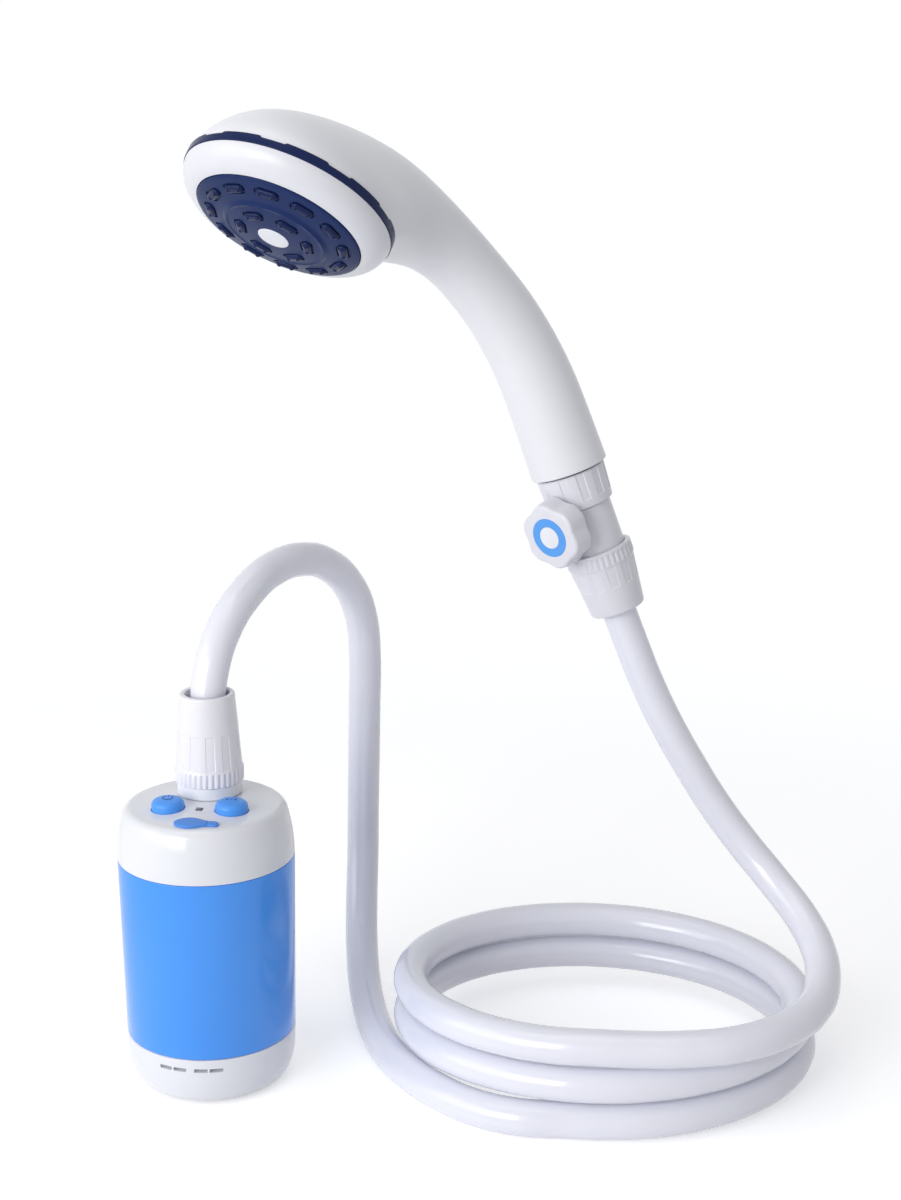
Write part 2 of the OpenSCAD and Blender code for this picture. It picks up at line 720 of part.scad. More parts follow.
module union_nut_ring() {
    ribs = 12;
    lip_r = valve_neck_r + move_gap;
    top = union_nut[1] / 2;
    low = union_nut[2] / 2;
    plain = 3;
    valley = low - 0.5;
    color("whitesmoke") at_handset(union_u) difference() {
        union() {
            cylinder(r1 = low, r2 = top - 0.7, h = union_nut[0]);
            translate([0, 0, plain]) linear_extrude(union_nut[0] - plain - 0.5)
                polygon([for (k = [0:ribs - 1],
                              edge = [[-9.5, valley], [-8.5, top], [8.5, top], [9.5, valley]])
                    let (a = 360 * k / ribs + edge[0]) edge[1] * [cos(a), sin(a)]]);
        }
        translate([0, 0, -1]) cylinder(r = lip_r, h = union_nut[0] + 2);
        translate([0, 0, clip_u - union_u - move_gap]) cylinder(r = union_bore_r, h = union_nut[0]);
    }
}

module union_washer() {
    color("dimgray") at_handset(washer_u) ring(union_bore_r - 0.6, valve_bore_r, washer_t);
}

module handle_connector() {
    low = washer_u + washer_t;
    color("gainsboro") difference() {
        union() {
            at_handset(low) cylinder(r = union_bore_r - move_gap, h = handle_u - low + 1);
            at_handset(handle_u) cylinder(r = socket_r - fit_gap, h = socket_h);
        }
        at_handset(low - 1) cylinder(r = 6.5, h = 60);
    }
}

module valve_plug() {
    color("gainsboro") difference() {
        at_stem() union() {
            translate([0, 0, 0.3 - plug_reach]) cylinder(r = plug_r, h = 2 * plug_reach - 0.3);
            cylinder(r = stem_r, h = knob_face - 3);
        }
        at_handset(stem_u - 20) cylinder(r = valve_bore_r, h = 40);
    }
}

module stem_seal() {
    color("dimgray") at_stem() translate([0, 0, plug_reach + 0.9]) o_ring((stem_r + plug_r) / 2, 0.8);
}

module stem_bush() {
    color("gainsboro") at_stem() translate([0, 0, plug_reach + 1.8])
        ring(plug_r, stem_r + run_gap, boss_reach - plug_reach - 1.8);
}

module valve_knob() {
    lobes = 6;
    scallop = 1.6;
    steps = 72;
    r = knob_d / 2;
    color("white") at_stem() translate([0, 0, knob_back]) difference() {
        linear_extrude(knob_h) polygon([for (i = [0:steps - 1])
            let (a = 360 * i / steps)
            (r - scallop * (1 - cos(lobes * a)) / 2) * [cos(a), sin(a)]]);
        translate([0, 0, -1]) cylinder(r = stem_r + fit_gap, h = knob_h - 1.9);
        translate([0, 0, knob_h - 0.6]) cylinder(r = ring_r[1] + fit_gap, h = 1);
    }
}

module knob_ring() {
    color("cornflowerblue") at_stem() translate([0, 0, knob_face - 0.6])
        ring(ring_r[1], ring_r[0] + fit_gap, 0.7);
}

module knob_disc() {
    color("white") at_stem() translate([0, 0, knob_face - 0.6]) cylinder(r = ring_r[0], h = 0.8);
}

// HANDSET: HANDLE AND HEAD

socket_r = handle_d / 2 - 3;
socket_h = 15;
bend_end = 42;
bend_steps = 8;

// Middle line of the handle in its own plane: straight, then an arc into the head
handle_line = concat(
    [for (k = [0:2]) [0, 0, handle_u + handle_straight * k / 2]],
    [for (k = [1:bend_steps]) let (a = bend_end * k / bend_steps)
        [handle_bend_r * (1 - cos(a)), 0, handle_u + handle_straight + handle_bend_r * sin(a)]]);
handle_count = len(handle_line);
handle_radii = [for (i = [0:handle_count - 1])
    handle_d / 2 + (neck_d - handle_d) / 2 * min(1, 1.25 * i / (handle_count - 1))];
handle_out = [sin(bend_end), 0, cos(bend_end)];

// The head's shell: a slanted dome from the trim ring up to the handle's neck
module dome(inset) {
    neck = [-62, 0, 36.5];
    crest = [-30, 0, 40];
    hull() {
        translate([0, 0, shell_z]) cylinder(r = head_r - inset, h = 1.6, $fn = 48);
        translate([-1.5, 0, shell_z + 6]) cylinder(r = head_r - 2.2 - inset, h = 0.4, $fn = 40);
        translate([-2.5, 0, shell_z + 12]) cylinder(r = head_r - 5 - inset, h = 0.4, $fn = 40);
        translate([-8.5, 0, shell_z + 23.6 - inset]) cylinder(r = head_r - 12.5 - inset, h = 0.4, $fn = 40);
        translate(crest) sphere(r = neck_d / 2 + 2 - inset, $fn = 24);
        translate(neck) sphere(r = neck_d / 2 + 0.2 - inset, $fn = 24);
    }
}

module handset_shell() {
    bore_line = [for (i = [1:handle_count - 1]) handle_line[i]];
    bore_radii = [for (i = [1:handle_count - 1]) handle_radii[i] - handle_wall];
    color("white") {
        difference() {
            union() {
                at_handset(0) swept(handle_line, handle_radii, 24, [0, 0, 1], handle_out, [0, 1, 0]);
                at_head() dome(0);
            }
            at_head() translate([0, 0, -0.01]) dome(handle_wall);
            at_handset(0) swept(bore_line, bore_radii, 16, [0, 0, 1], handle_out, [0, 1, 0]);
            at_handset(handle_u - 1) cylinder(r = socket_r, h = handle_straight / 2 + 2);
        }
    }
}

module trim_ring() {
    notches = 10;
    notch_w = 10.2;
    notch_turn = 10.8;
    color("midnightblue") at_head() translate([0, 0, trim_z]) difference() {
        ring(head_r + 0.2, head_r - 5, trim_h);
        for (k = [0:notches - 1]) rotate([0, 0, 360 * k / notches + notch_turn])
            translate([head_r - 0.9, -notch_w / 2, trim_h - 0.75]) cube([3, notch_w, 2]);
    }
}

module face_seal() {
    color("dimgray") at_head() translate([0, 0, trim_z + trim_h])
        ring(head_r - handle_wall - 0.4, head_r - 5, 1);
}

module water_plate() {
    holes = 12;
    color("gainsboro") at_head() translate([0, 0, trim_z + 1]) difference() {
        cylinder(r = head_r - 5 - fit_gap, h = 2.4);
        for (k = [0:holes - 1]) rotate([0, 0, 360 * k / holes])
            translate([plate_r - 7, 0, -1]) cylinder(r = 1.6, h = 5);
        translate([0, 0, -1]) cylinder(r = 1.6, h = 5);
    }
}

module bezel() {
    lip = plate_r + 0.3;
    mid_r = plate_r - 1.3;
    color("white") at_head() rotate_extrude() polygon(concat(
        [[lip, 4]],
        arc([mid_r, trim_z + 0.9], [head_r - mid_r, trim_z - 0.9], -80, -6, 10),
        [[head_r - 0.1, trim_z], [plate_r - 2, trim_z], [plate_r - 2, 4]]));
}

// Height of the spray plate's outer face at a distance from its middle
function bulge_z(r) = plate_edge_z - plate_bulge * (1 - r * r / (plate_r * plate_r));

module spray_plate() {
    steps = 8;
    thick = 2.4;
    color("darkslateblue") at_head() difference() {
        rotate_extrude() polygon(concat(
            [[0, bulge_z(0) + thick]],
            [for (i = [1:steps]) let (r = plate_r * i / steps) [r, bulge_z(r) + thick]],
            [for (i = [steps:-1:0]) let (r = plate_r * i / steps) [r, bulge_z(r)]]));
        translate([0, 0, -10]) cylinder(r = 1.6, h = 20);
        translate([0, 0, bulge_z(0) - 1]) cylinder(r = cap_r + fit_gap, h = 1.9);
    }
}

cap_r = 6;
// Two rows of nozzles: radius, count, length of one nozzle and the row's turn in degrees
nozzle_rings = [[cap_r + 7, 6, 7.8, 19], [plate_r - 5.7, 12, 8.4, 18]];

module spray_nozzles() {
    nozzle_w = 3.6;
    nozzle_h = 1.3;
    color("midnightblue") at_head() for (row = nozzle_rings, k = [0:row[1] - 1])
        rotate([0, 0, 360 * k / row[1] + row[3]]) translate([row[0], 0, bulge_z(row[0])])
            rotate([0, -atan(2 * plate_bulge * row[0] / (plate_r * plate_r)), 0])
                translate([0, 0, -nozzle_h - fit_gap / 2]) rotate([0, 0, 90])
                    linear_extrude(nozzle_h) slot_outline([row[2], nozzle_w]);
}

module plate_screw() {
    color("silver") at_head() translate([0, 0, bulge_z(0) + 1])
        cylinder(r = 1.5, h = trim_z + 3 - bulge_z(0));
}

module plate_cap() {
    color("white") at_head() translate([0, 0, bulge_z(0) - 0.8]) cylinder(r = cap_r, h = 1.6);
}

base_strainer();
filter_pad();
sleeve();
top_cap();
cap_gasket();
bulkhead();
bulkhead_seal();
volute();
motor_can();
motor_endcap();
motor_shaft();
impeller();
shaft_seal();
battery_cells();
battery_cradles();
battery_tab();
circuit_board();
board_screws();
button_switches();
power_plunger();
mode_plunger();
power_button();
mode_button();
led_window();
charge_socket();
port_cover();
cover_tab();
riser_tube();
outlet_spigot();
outlet_locknut();
outlet_washer();
pump_hose_nut();
pump_hose_tail();
hose_pump_run();
hose_coil();
hose_handset_run();
handset_hose_tail();
handset_hose_nut();
handset_washer();
valve_body();
valve_plug();
stem_bush();
stem_seal();
valve_knob();
knob_ring();
knob_disc();
union_clip();
union_nut_ring();
union_washer();
handle_connector();
handset_shell();
trim_ring();
face_seal();
water_plate();
bezel();
spray_plate();
spray_nozzles();
plate_screw();
plate_cap();
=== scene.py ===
from math import atan2, cos, exp, hypot, pi, radians, sin

import bmesh
import bpy
from mathutils import Euler, Matrix, Vector
from mathutils.geometry import interpolate_bezier


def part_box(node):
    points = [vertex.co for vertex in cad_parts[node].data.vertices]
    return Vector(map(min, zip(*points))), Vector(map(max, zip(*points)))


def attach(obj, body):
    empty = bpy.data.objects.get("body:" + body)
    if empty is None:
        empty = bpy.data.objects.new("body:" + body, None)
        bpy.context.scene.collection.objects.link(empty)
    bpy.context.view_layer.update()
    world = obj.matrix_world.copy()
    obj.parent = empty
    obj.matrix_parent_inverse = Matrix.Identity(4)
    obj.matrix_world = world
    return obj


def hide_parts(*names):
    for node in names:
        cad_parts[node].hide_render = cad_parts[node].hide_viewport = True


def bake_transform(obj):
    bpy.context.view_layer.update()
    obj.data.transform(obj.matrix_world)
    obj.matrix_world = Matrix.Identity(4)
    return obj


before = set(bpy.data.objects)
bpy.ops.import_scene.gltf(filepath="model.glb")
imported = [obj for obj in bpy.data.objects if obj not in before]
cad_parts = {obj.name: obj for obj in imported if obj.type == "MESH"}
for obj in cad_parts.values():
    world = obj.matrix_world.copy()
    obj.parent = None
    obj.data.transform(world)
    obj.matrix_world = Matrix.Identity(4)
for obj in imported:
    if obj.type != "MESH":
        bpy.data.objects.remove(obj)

MM = 0.001
scene = bpy.context.scene
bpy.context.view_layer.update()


def span(node):
    """Lowest and highest corner of a CAD node, in millimetres."""
    low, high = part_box(node)
    return low / MM, high / MM


def place(at=(0, 0, 0), turn=(0, 0, 0)):
    """A part's frame: turned in degrees about X, Y and Z, then moved."""
    return Matrix.Translation(at) @ Euler([radians(a) for a in turn]).to_matrix().to_4x4()


# Frames of the handset: its hose nut's mouth, its valve stem and its spray head
HANDSET = place((158.3, 70, 177.7), (13.3, 14.9, -134.6))
STEM_U = 40.9
STEM = HANDSET @ place((0, 0, STEM_U), (0, 0, 9)) @ place(turn=(0, 90, 0))
HEAD = HANDSET @ place((90.6, 0, 190.2), (0, -50.8, 0))

# Levels and radii of the pump, from the frame
sleeve_low, sleeve_high = span("sleeve")
cap_low, cap_high = span("top_cap")
collar_low, collar_high = span("outlet_spigot")
CASING_R = sleeve_high.x
FOOT_R = span("base_strainer")[1].x
BASE_H = sleeve_low.z
CAP_Z = cap_low.z
TOP_Z = cap_high.z
OUTLET_Y = (collar_low.y + collar_high.y) / 2
CROWN_R = 300
FOOT_H = 1.2


def crown_z(r):
    """Height of the cap's crown at a distance from its middle."""
    return TOP_Z - r * r / (2 * CROWN_R)


OUTLET = place((0, OUTLET_Y, 0))
PORT_INSET = 10
PORT_Y = PORT_INSET - CASING_R
PORT_TILT = 4.684
PORT = place((0, PORT_Y, crown_z(PORT_Y)), (PORT_TILT, 0, 0))


# CAMERA

camera = bpy.data.objects.new("camera", bpy.data.cameras.new("camera"))
camera.data.lens = 60
camera.data.sensor_width = 36
camera.location = (0.1589, -0.7211, 0.3872)
camera.rotation_euler = (radians(75.34), 0, radians(5))
scene.collection.objects.link(camera)
scene.camera = camera


# FINISHES

def socket_group(name, inputs, outputs):
    """An empty shader group with named sockets, and its two end nodes."""
    group = bpy.data.node_groups.new(name, "ShaderNodeTree")
    for label, kind, value in inputs:
        socket = group.interface.new_socket(label, in_out="INPUT", socket_type=kind)
        socket.default_value = value
    for label, kind in outputs:
        group.interface.new_socket(label, in_out="OUTPUT", socket_type=kind)
    return group, group.nodes.new("NodeGroupInput"), group.nodes.new("NodeGroupOutput")


def noise(tree, vector, scale, detail=3.0):
    node = tree.nodes.new("ShaderNodeTexNoise")
    node.inputs["Detail"].default_value = detail
    if isinstance(scale, (int, float)):
        node.inputs["Scale"].default_value = scale
    else:
        tree.links.new(scale, node.inputs["Scale"])
    tree.links.new(vector, node.inputs["Vector"])
    return node.outputs["Fac"]


NOISE_LOW, NOISE_HIGH = 0.2, 0.8


def ranged(tree, value, low, high):
    """Spreads a noise's middle values softly from low to high, each a number or a socket."""
    node = tree.nodes.new("ShaderNodeMapRange")
    node.interpolation_type = "SMOOTHERSTEP"
    tree.links.new(value, node.inputs["Value"])
    node.inputs["From Min"].default_value = NOISE_LOW
    node.inputs["From Max"].default_value = NOISE_HIGH
    for socket, bound in (("To Min", low), ("To Max", high)):
        if isinstance(bound, (int, float)):
            node.inputs[socket].default_value = bound
        else:
            tree.links.new(bound, node.inputs[socket])
    return node.outputs["Result"]


def tinted(tree, factor, first, second):
    """A colour that goes from first to second with the factor."""
    node = tree.nodes.new("ShaderNodeMix")
    node.data_type = "RGBA"
    tree.links.new(factor, node.inputs["Factor"])
    for label, colour in (("A", first), ("B", second)):
        socket = next(s for s in node.inputs if s.name == label and s.type == "RGBA")
        if isinstance(colour, tuple):
            socket.default_value = (*colour, 1)
        else:
            tree.links.new(colour, socket)
    return next(s for s in node.outputs if s.type == "RGBA")


# Patterns of a moulded skin, per metre, its depth in metres, and how light spreads under it
DRIFT_SCALE = 24.0
PATCH_SCALE = 55.0
SKIN_SCALE = 1500.0
SKIN_DEPTH = 0.0002
SOFT_RADIUS = (1.0, 0.9, 1.0)
SOFT_DEPTH = 0.002


def make_moulded_group():
    """Moulded plastic: slow colour drift, patches that are shinier, and a fine skin."""
    colour = (0.8, 0.8, 0.8, 1)
    group, start, end = socket_group("moulded_skin", [
        ("Colour", "NodeSocketColor", colour), ("Deep Colour", "NodeSocketColor", colour),
        ("Shiny", "NodeSocketFloat", 0.25), ("Dull", "NodeSocketFloat", 0.35),
        ("Skin Scale", "NodeSocketFloat", SKIN_SCALE)],
        [("Colour", "NodeSocketColor"), ("Roughness", "NodeSocketFloat"), ("Height", "NodeSocketFloat")])
    where = group.nodes.new("ShaderNodeTexCoord").outputs["Object"]
    drift = ranged(group, noise(group, where, DRIFT_SCALE), 0.0, 1.0)
    patches = noise(group, where, PATCH_SCALE, 2.0)
    skin = noise(group, where, start.outputs["Skin Scale"], 2.0)
    group.links.new(tinted(group, drift, start.outputs["Colour"], start.outputs["Deep Colour"]),
                    end.inputs["Colour"])
    group.links.new(ranged(group, patches, start.outputs["Shiny"], start.outputs["Dull"]),
                    end.inputs["Roughness"])
    group.links.new(skin, end.inputs["Height"])
    return group


MOULDED = make_moulded_group()


def new_finish(name):
    material = bpy.data.materials.new(name)
    material.use_nodes = True
    return material, material.node_tree, material.node_tree.nodes["Principled BSDF"]


def bump(tree, shader, height, strength, depth):
    node = tree.nodes.new("ShaderNodeBump")
    node.inputs["Strength"].default_value = strength
    node.inputs["Distance"].default_value = depth
    tree.links.new(height, node.inputs["Height"])
    tree.links.new(node.outputs["Normal"], shader.inputs["Normal"])


def moulded(name, colour, deep, shiny, dull, skin_scale=SKIN_SCALE, relief=0.05, shine=0.5, soft=0.0):
    """A moulded plastic, rubber or paint of one colour."""
    material, tree, shader = new_finish(name)
    skin = tree.nodes.new("ShaderNodeGroup")
    skin.node_tree = MOULDED
    for label, value in (("Colour", (*colour, 1)), ("Deep Colour", (*deep, 1)), ("Shiny", shiny),
                         ("Dull", dull), ("Skin Scale", skin_scale)):
        skin.inputs[label].default_value = value
    tree.links.new(skin.outputs["Colour"], shader.inputs["Base Color"])
    tree.links.new(skin.outputs["Roughness"], shader.inputs["Roughness"])
    bump(tree, shader, skin.outputs["Height"], relief, SKIN_DEPTH)
    shader.inputs["Specular IOR Level"].default_value = shine
    shader.inputs["Subsurface Weight"].default_value = soft
    shader.inputs["Subsurface Radius"].default_value = SOFT_RADIUS
    shader.inputs["Subsurface Scale"].default_value = SOFT_DEPTH
    return material


def metal(name, colour, deep, shiny, dull, grain):
    """A drawn or plated metal, with its grain stretched along the three axes of the object."""
    grain_relief, grain_depth = 0.08, 0.0001
    material, tree, shader = new_finish(name)
    where = tree.nodes.new("ShaderNodeTexCoord").outputs["Object"]
    mapping = tree.nodes.new("ShaderNodeMapping")
    mapping.inputs["Scale"].default_value = grain
    tree.links.new(where, mapping.inputs["Vector"])
    lines = noise(tree, mapping.outputs["Vector"], 1.0, 6.0)
    tree.links.new(tinted(tree, ranged(tree, lines, 0.0, 1.0), colour, deep), shader.inputs["Base Color"])
    tree.links.new(ranged(tree, lines, shiny, dull), shader.inputs["Roughness"])
    bump(tree, shader, lines, grain_relief, grain_depth)
    shader.inputs["Metallic"].default_value = 1.0
    return material


def foam(name, colour, deep):
    """Open filter foam: paler walls, with painted shade that darkens each cell towards its sunk middle."""
    cell_scale, cell_relief, cell_depth = 900.0, 0.8, 0.0008
    material, tree, shader = new_finish(name)
    where = tree.nodes.new("ShaderNodeTexCoord").outputs["Object"]
    cells = tree.nodes.new("ShaderNodeTexVoronoi")
    cells.inputs["Scale"].default_value = cell_scale
    tree.links.new(where, cells.inputs["Vector"])
    # painted shade: the colour goes to the deep colour at each cell's middle, where the bump sinks the cell
    tree.links.new(tinted(tree, cells.outputs["Distance"], deep, colour), shader.inputs["Base Color"])
    bump(tree, shader, cells.outputs["Distance"], cell_relief, cell_depth)
    shader.inputs["Roughness"].default_value = 0.95
    return material


# Colour, deep colour, shiniest and dullest roughness of each finish
FINISH = {
    "white_shell": moulded("gloss_white_shell", (0.83, 0.84, 0.885), (0.82, 0.83, 0.88), 0.1, 0.13),
    "white_satin": moulded("satin_white_handset", (0.84, 0.84, 0.88), (0.83, 0.83, 0.87), 0.285, 0.3,
                           relief=0.06),
    "white_nut": moulded("satin_white_nut", (0.775, 0.77, 0.83), (0.765, 0.76, 0.82), 0.275, 0.295,
                         relief=0.06),
    "outlet_plastic": moulded("grey_white_outlet", (0.88, 0.89, 0.93), (0.87, 0.88, 0.92), 0.25, 0.28),
    "blue_shell": moulded("gloss_blue_sleeve", (0.06, 0.325, 0.96), (0.054, 0.31, 0.945), 0.12, 0.15),
    "blue_button": moulded("satin_blue_button", (0.075, 0.34, 0.95), (0.068, 0.32, 0.92), 0.36, 0.42,
                           relief=0.1),
    "blue_rubber": moulded("blue_silicone_flap", (0.07, 0.27, 0.8), (0.062, 0.25, 0.76), 0.42, 0.48,
                           relief=0.12),
    "ring_blue": moulded("printed_blue_ring", (0.1, 0.37, 0.88), (0.09, 0.345, 0.85), 0.3, 0.36),
    "navy": moulded("gloss_navy", (0.008, 0.018, 0.082), (0.006, 0.015, 0.072), 0.2, 0.24, relief=0.06,
                    shine=0.14),
    "hose_pvc": moulded("white_hose", (0.85, 0.855, 0.935), (0.84, 0.845, 0.925), 0.13, 0.16, 900.0,
                        relief=0.03, shine=0.6, soft=0.1),
    "smoked_window": moulded("smoked_window", (0.11, 0.11, 0.13), (0.085, 0.085, 0.105), 0.1, 0.14),
    "seal_rubber": moulded("black_seal_rubber", (0.03, 0.03, 0.032), (0.02, 0.02, 0.022), 0.6, 0.7,
                           relief=0.2),
    "cell_wrap": moulded("green_cell_wrap", (0.05, 0.38, 0.22), (0.04, 0.33, 0.19), 0.3, 0.36),
    "board": moulded("green_board", (0.02, 0.19, 0.08), (0.014, 0.15, 0.06), 0.38, 0.48, 700.0, 0.2),
    "dark_plastic": moulded("dark_plastic", (0.05, 0.05, 0.056), (0.04, 0.04, 0.045), 0.4, 0.48),
    "inner_plastic": moulded("inner_grey_plastic", (0.69, 0.7, 0.73), (0.65, 0.66, 0.69), 0.4, 0.46),
    "sponge": foam("filter_foam", (0.1, 0.1, 0.11), (0.012, 0.012, 0.014)),
    "motor_metal": metal("plated_motor_can", (0.62, 0.62, 0.64), (0.52, 0.52, 0.54), 0.28, 0.4,
                         (60, 60, 900)),
    "steel": metal("bright_steel", (0.63, 0.63, 0.65), (0.55, 0.55, 0.57), 0.18, 0.32, (900, 900, 90)),
    "nickel": metal("nickel_strip", (0.68, 0.66, 0.61), (0.58, 0.56, 0.52), 0.25, 0.4, (90, 1200, 900)),
}
NAVY_FACE = moulded("satin_navy_face", (0.014, 0.031, 0.12), (0.012, 0.027, 0.108), 0.32, 0.36,
                    relief=0.08, shine=0.1)
# painted light: a lighter copy of the nut white, same roughness and relief, for the pump's hose nut
PUMP_NUT_LIT_WHITE = moulded("nut_white_painted_light", (0.87, 0.86, 0.91), (0.86, 0.85, 0.9), 0.275, 0.295,
                         relief=0.06)
# painted shade: a darker copy of the handset's satin white, same roughness and relief, for the bezel
BEZEL_SHADED_WHITE = moulded("satin_white_painted_shade_bezel", (0.77, 0.775, 0.82), (0.76, 0.765, 0.81), 0.285, 0.3,
                      relief=0.06)
BUTTON_MARK = moulded("blue_mark_paint", (0.018, 0.085, 0.36), (0.014, 0.07, 0.31), 0.4, 0.5)


# MAKING SHAPES

def arc(middle, radii, start, end, steps=8):
    """Points of an elliptic arc between two angles in degrees."""
    turns = [radians(start + (end - start) * i / steps) for i in range(steps + 1)]
    return [(middle[0] + radii[0] * cos(a), middle[1] + radii[1] * sin(a)) for a in turns]


def bend(first, first_pull, last_pull, last, steps=12):
    """Points of a smooth curve between two points, each with the point that it heads for."""
    ends = [Vector(p) for p in (first, first_pull, last_pull, last)]
    return [tuple(p) for p in interpolate_bezier(*ends, steps + 1)]


def foot_edge(r, z, edge, steps=4):
    """Points of the rounded outer corner where a wall of radius r starts, at height z."""
    return arc((r - edge, z + edge), (edge, edge), -90, 0, steps)


def top_edge(r, z, edge, steps=4):
    """Points of the rounded outer corner where a wall of radius r ends, at height z."""
    return arc((r - edge, z - edge), (edge, edge), 0, 90, steps)


def rectangle(half_x, half_y, x=0.0, y=0.0):
    """Outline of a rectangle about (x, y)."""
    return [(x + sx * half_x, y + sy * half_y) for sx, sy in ((-1, -1), (1, -1), (1, 1), (-1, 1))]


def clean(bm):
    """Merges doubled points and turns the faces outward."""
    bmesh.ops.remove_doubles(bm, verts=bm.verts, dist=1e-4)
    bmesh.ops.recalc_face_normals(bm, faces=bm.faces)
    return bm


def turned(profile, steps=128, closed=False):
    """A profile of (radius, height) points spun about Z. A closed one joins its last point to its first."""
    bm = bmesh.new()
    verts = [bm.verts.new((r, 0, z)) for r, z in profile]
    edges = [bm.edges.new(pair) for pair in zip(verts, verts[1:])]
    if closed:
        edges.append(bm.edges.new((verts[-1], verts[0])))
    bmesh.ops.spin(bm, geom=verts + edges, cent=(0, 0, 0), axis=(0, 0, 1), angle=2 * pi,
                   steps=steps, use_merge=True)
    return clean(bm)


def rod(r, low, high, steps):
    """A plain cylinder about Z."""
    return turned([(0, low), (r, low), (r, high), (0, high)], steps)


def bevelled(bm, edges, width, segments):
    """Rounds the given edges."""
    bmesh.ops.bevel(bm, geom=edges, offset=width, affect="EDGES", segments=segments, profile=0.5,
                    material=-1, clamp_overlap=True)
    return bm


def soften(bm, width, segments, angle=35):
    """Rounds every edge that is sharper than the angle."""
    sharp = [e for e in bm.edges if len(e.link_faces) == 2 and e.calc_face_angle() > radians(angle)]
    return bevelled(bm, sharp, width, segments)


def crowned(bm, width, segments=3):
    """Rounds the edges of a plate's upper face."""
    top = max(v.co.z for v in bm.verts) - 1e-4
    return bevelled(bm, [e for e in bm.edges if all(v.co.z > top for v in e.verts)], width, segments)


def slab(outline, height, low):
    """An outline of (x, y) points as a plate from low to low + height."""
    bm = bmesh.new()
    face = bm.faces.new([bm.verts.new((x, y, low)) for x, y in outline])
    lifted = bmesh.ops.extrude_face_region(bm, geom=[face])["geom"]
    upper = [v for v in lifted if isinstance(v, bmesh.types.BMVert)]
    bmesh.ops.translate(bm, vec=(0, 0, height), verts=upper)
    bmesh.ops.recalc_face_normals(bm, faces=bm.faces)
    return bm


def mound(outline, low, high, rounding, steps=6):
    """A plate from low to high whose top face steps in and up to a full round edge."""
    bm = slab(outline, high - rounding - low, low)
    top = max(bm.faces, key=lambda face: face.calc_center_median().z)
    for i in range(steps):
        a, b = (radians(90 * k / steps) for k in (i, i + 1))
        bmesh.ops.inset_region(bm, faces=[top], thickness=rounding * (cos(a) - cos(b)),
                               depth=rounding * (sin(b) - sin(a)), use_even_offset=True)
    return bm


def stadium(length, width, steps=10):
    """Outline with two straight sides and two round ends, its length along X."""
    r = width / 2
    half = length / 2 - r
    return arc((half, 0), (r, r), -90, 90, steps) + arc((-half, 0), (r, r), 90, 270, steps)


def put(bm, other, *spots):
    """Adds a copy of another shape at each of the spots, then frees it."""
    mesh = bpy.data.meshes.new("shape")
    other.to_mesh(mesh)
    other.free()
    for spot in spots:
        before = len(bm.verts)
        bm.from_mesh(mesh)
        bm.verts.ensure_lookup_table()
        bmesh.ops.transform(bm, matrix=spot, verts=bm.verts[before:])
    bpy.data.meshes.remove(mesh)


def sliced(bm, places):
    """Cuts a plate across X at each of the places, so that it can bend."""
    for x in places:
        everything = [*bm.verts, *bm.edges, *bm.faces]
        bmesh.ops.bisect_plane(bm, geom=everything, plane_co=(x, 0, 0), plane_no=(1, 0, 0))
    return bm


def to_object(name, bm):
    """A shape as an object in the scene. The shape is freed."""
    mesh = bpy.data.meshes.new(name)
    bm.to_mesh(mesh)
    bm.free()
    made = bpy.data.objects.new(name, mesh)
    scene.collection.objects.link(made)
    return made


def joined(bm, other, how):
    """Both shapes as one closed skin (UNION), or the first with the other cut away (DIFFERENCE)."""
    pair = [to_object("shape", shape) for shape in (bm, other)]
    step = pair[0].modifiers.new("cut", "BOOLEAN")
    step.object = pair[1]
    step.operation = how
    step.solver = "EXACT"
    graph = bpy.context.evaluated_depsgraph_get()
    made = bmesh.new()
    made.from_mesh(pair[0].evaluated_get(graph).to_mesh())
    for shape in pair:
        bpy.data.objects.remove(shape)
    return made


def grooved(bm, count, depth, low, high, share, inside_r, shift=0.0, rounded=False):
    """Sinks upright grooves into a turned wall between two heights. share is a groove's part of a pitch."""
    for v in bm.verts:
        r = hypot(v.co.x, v.co.y)
        if low <= v.co.z <= high and r > inside_r:
            part = (atan2(v.co.y, v.co.x) / (2 * pi) * count + shift) % 1.0
            if 1e-6 < part < share - 1e-6:
                sunk = sin(pi * part / share) ** 2 if rounded else 1
                v.co.xy *= 1 - depth * sunk / r
    return bm


def piece(name, bm, where, body, slot, *nodes, finish=None, sharp=32):
    """Sets a shape down in metres as a piece that rides on a body, if any, and stands for CAD nodes."""
    bmesh.ops.transform(bm, matrix=Matrix.Scale(MM, 4) @ where, verts=bm.verts)
    made = to_object(name, bm)
    made.data.shade_smooth()
    made.data.set_sharp_from_angle(angle=radians(sharp))
    made.data.materials.append(finish or FINISH[slot])
    if body:
        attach(made, body)
    if nodes:
        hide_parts(*nodes)
    return made


# HOSE

# Sizes of the hose and its coil, and the points of its line before and after the coil
HOSE_D = 14
COIL_AT = (156, 27.5)
COIL_SEMI = (78.5, 67.5)
COIL_PITCH = 15
COIL_LOOPS = 2
COIL_POINTS = 24
PUMP_HOSE_Z = 133.73
PUMP_RUN = [
    (0, 10, PUMP_HOSE_Z), (0, 10, 146), (1, 12.5, 162), (5, 21, 178), (12, 34.5, 190), (20, 50.5, 196),
    (29, 67.5, 196), (37, 83.5, 190), (44, 96.5, 178), (48, 105, 162), (49, 108, 144),
    (48.5, 108.5, 120), (48, 108.5, 97), (47.5, 108, 74), (47.5, 105, 53), (48, 95.5, 34.5),
    (49.8, 81, 20), (53.3, 63, 10.5), (58, 44, 7.2), (63.3, 25.4, 7), (70.3, 8.3, 7),
    (80, -7.8, 7), (92.6, -22.2, 7), (108, -33.8, 7), (125, -39.6, 7), (142, -40, 7)]
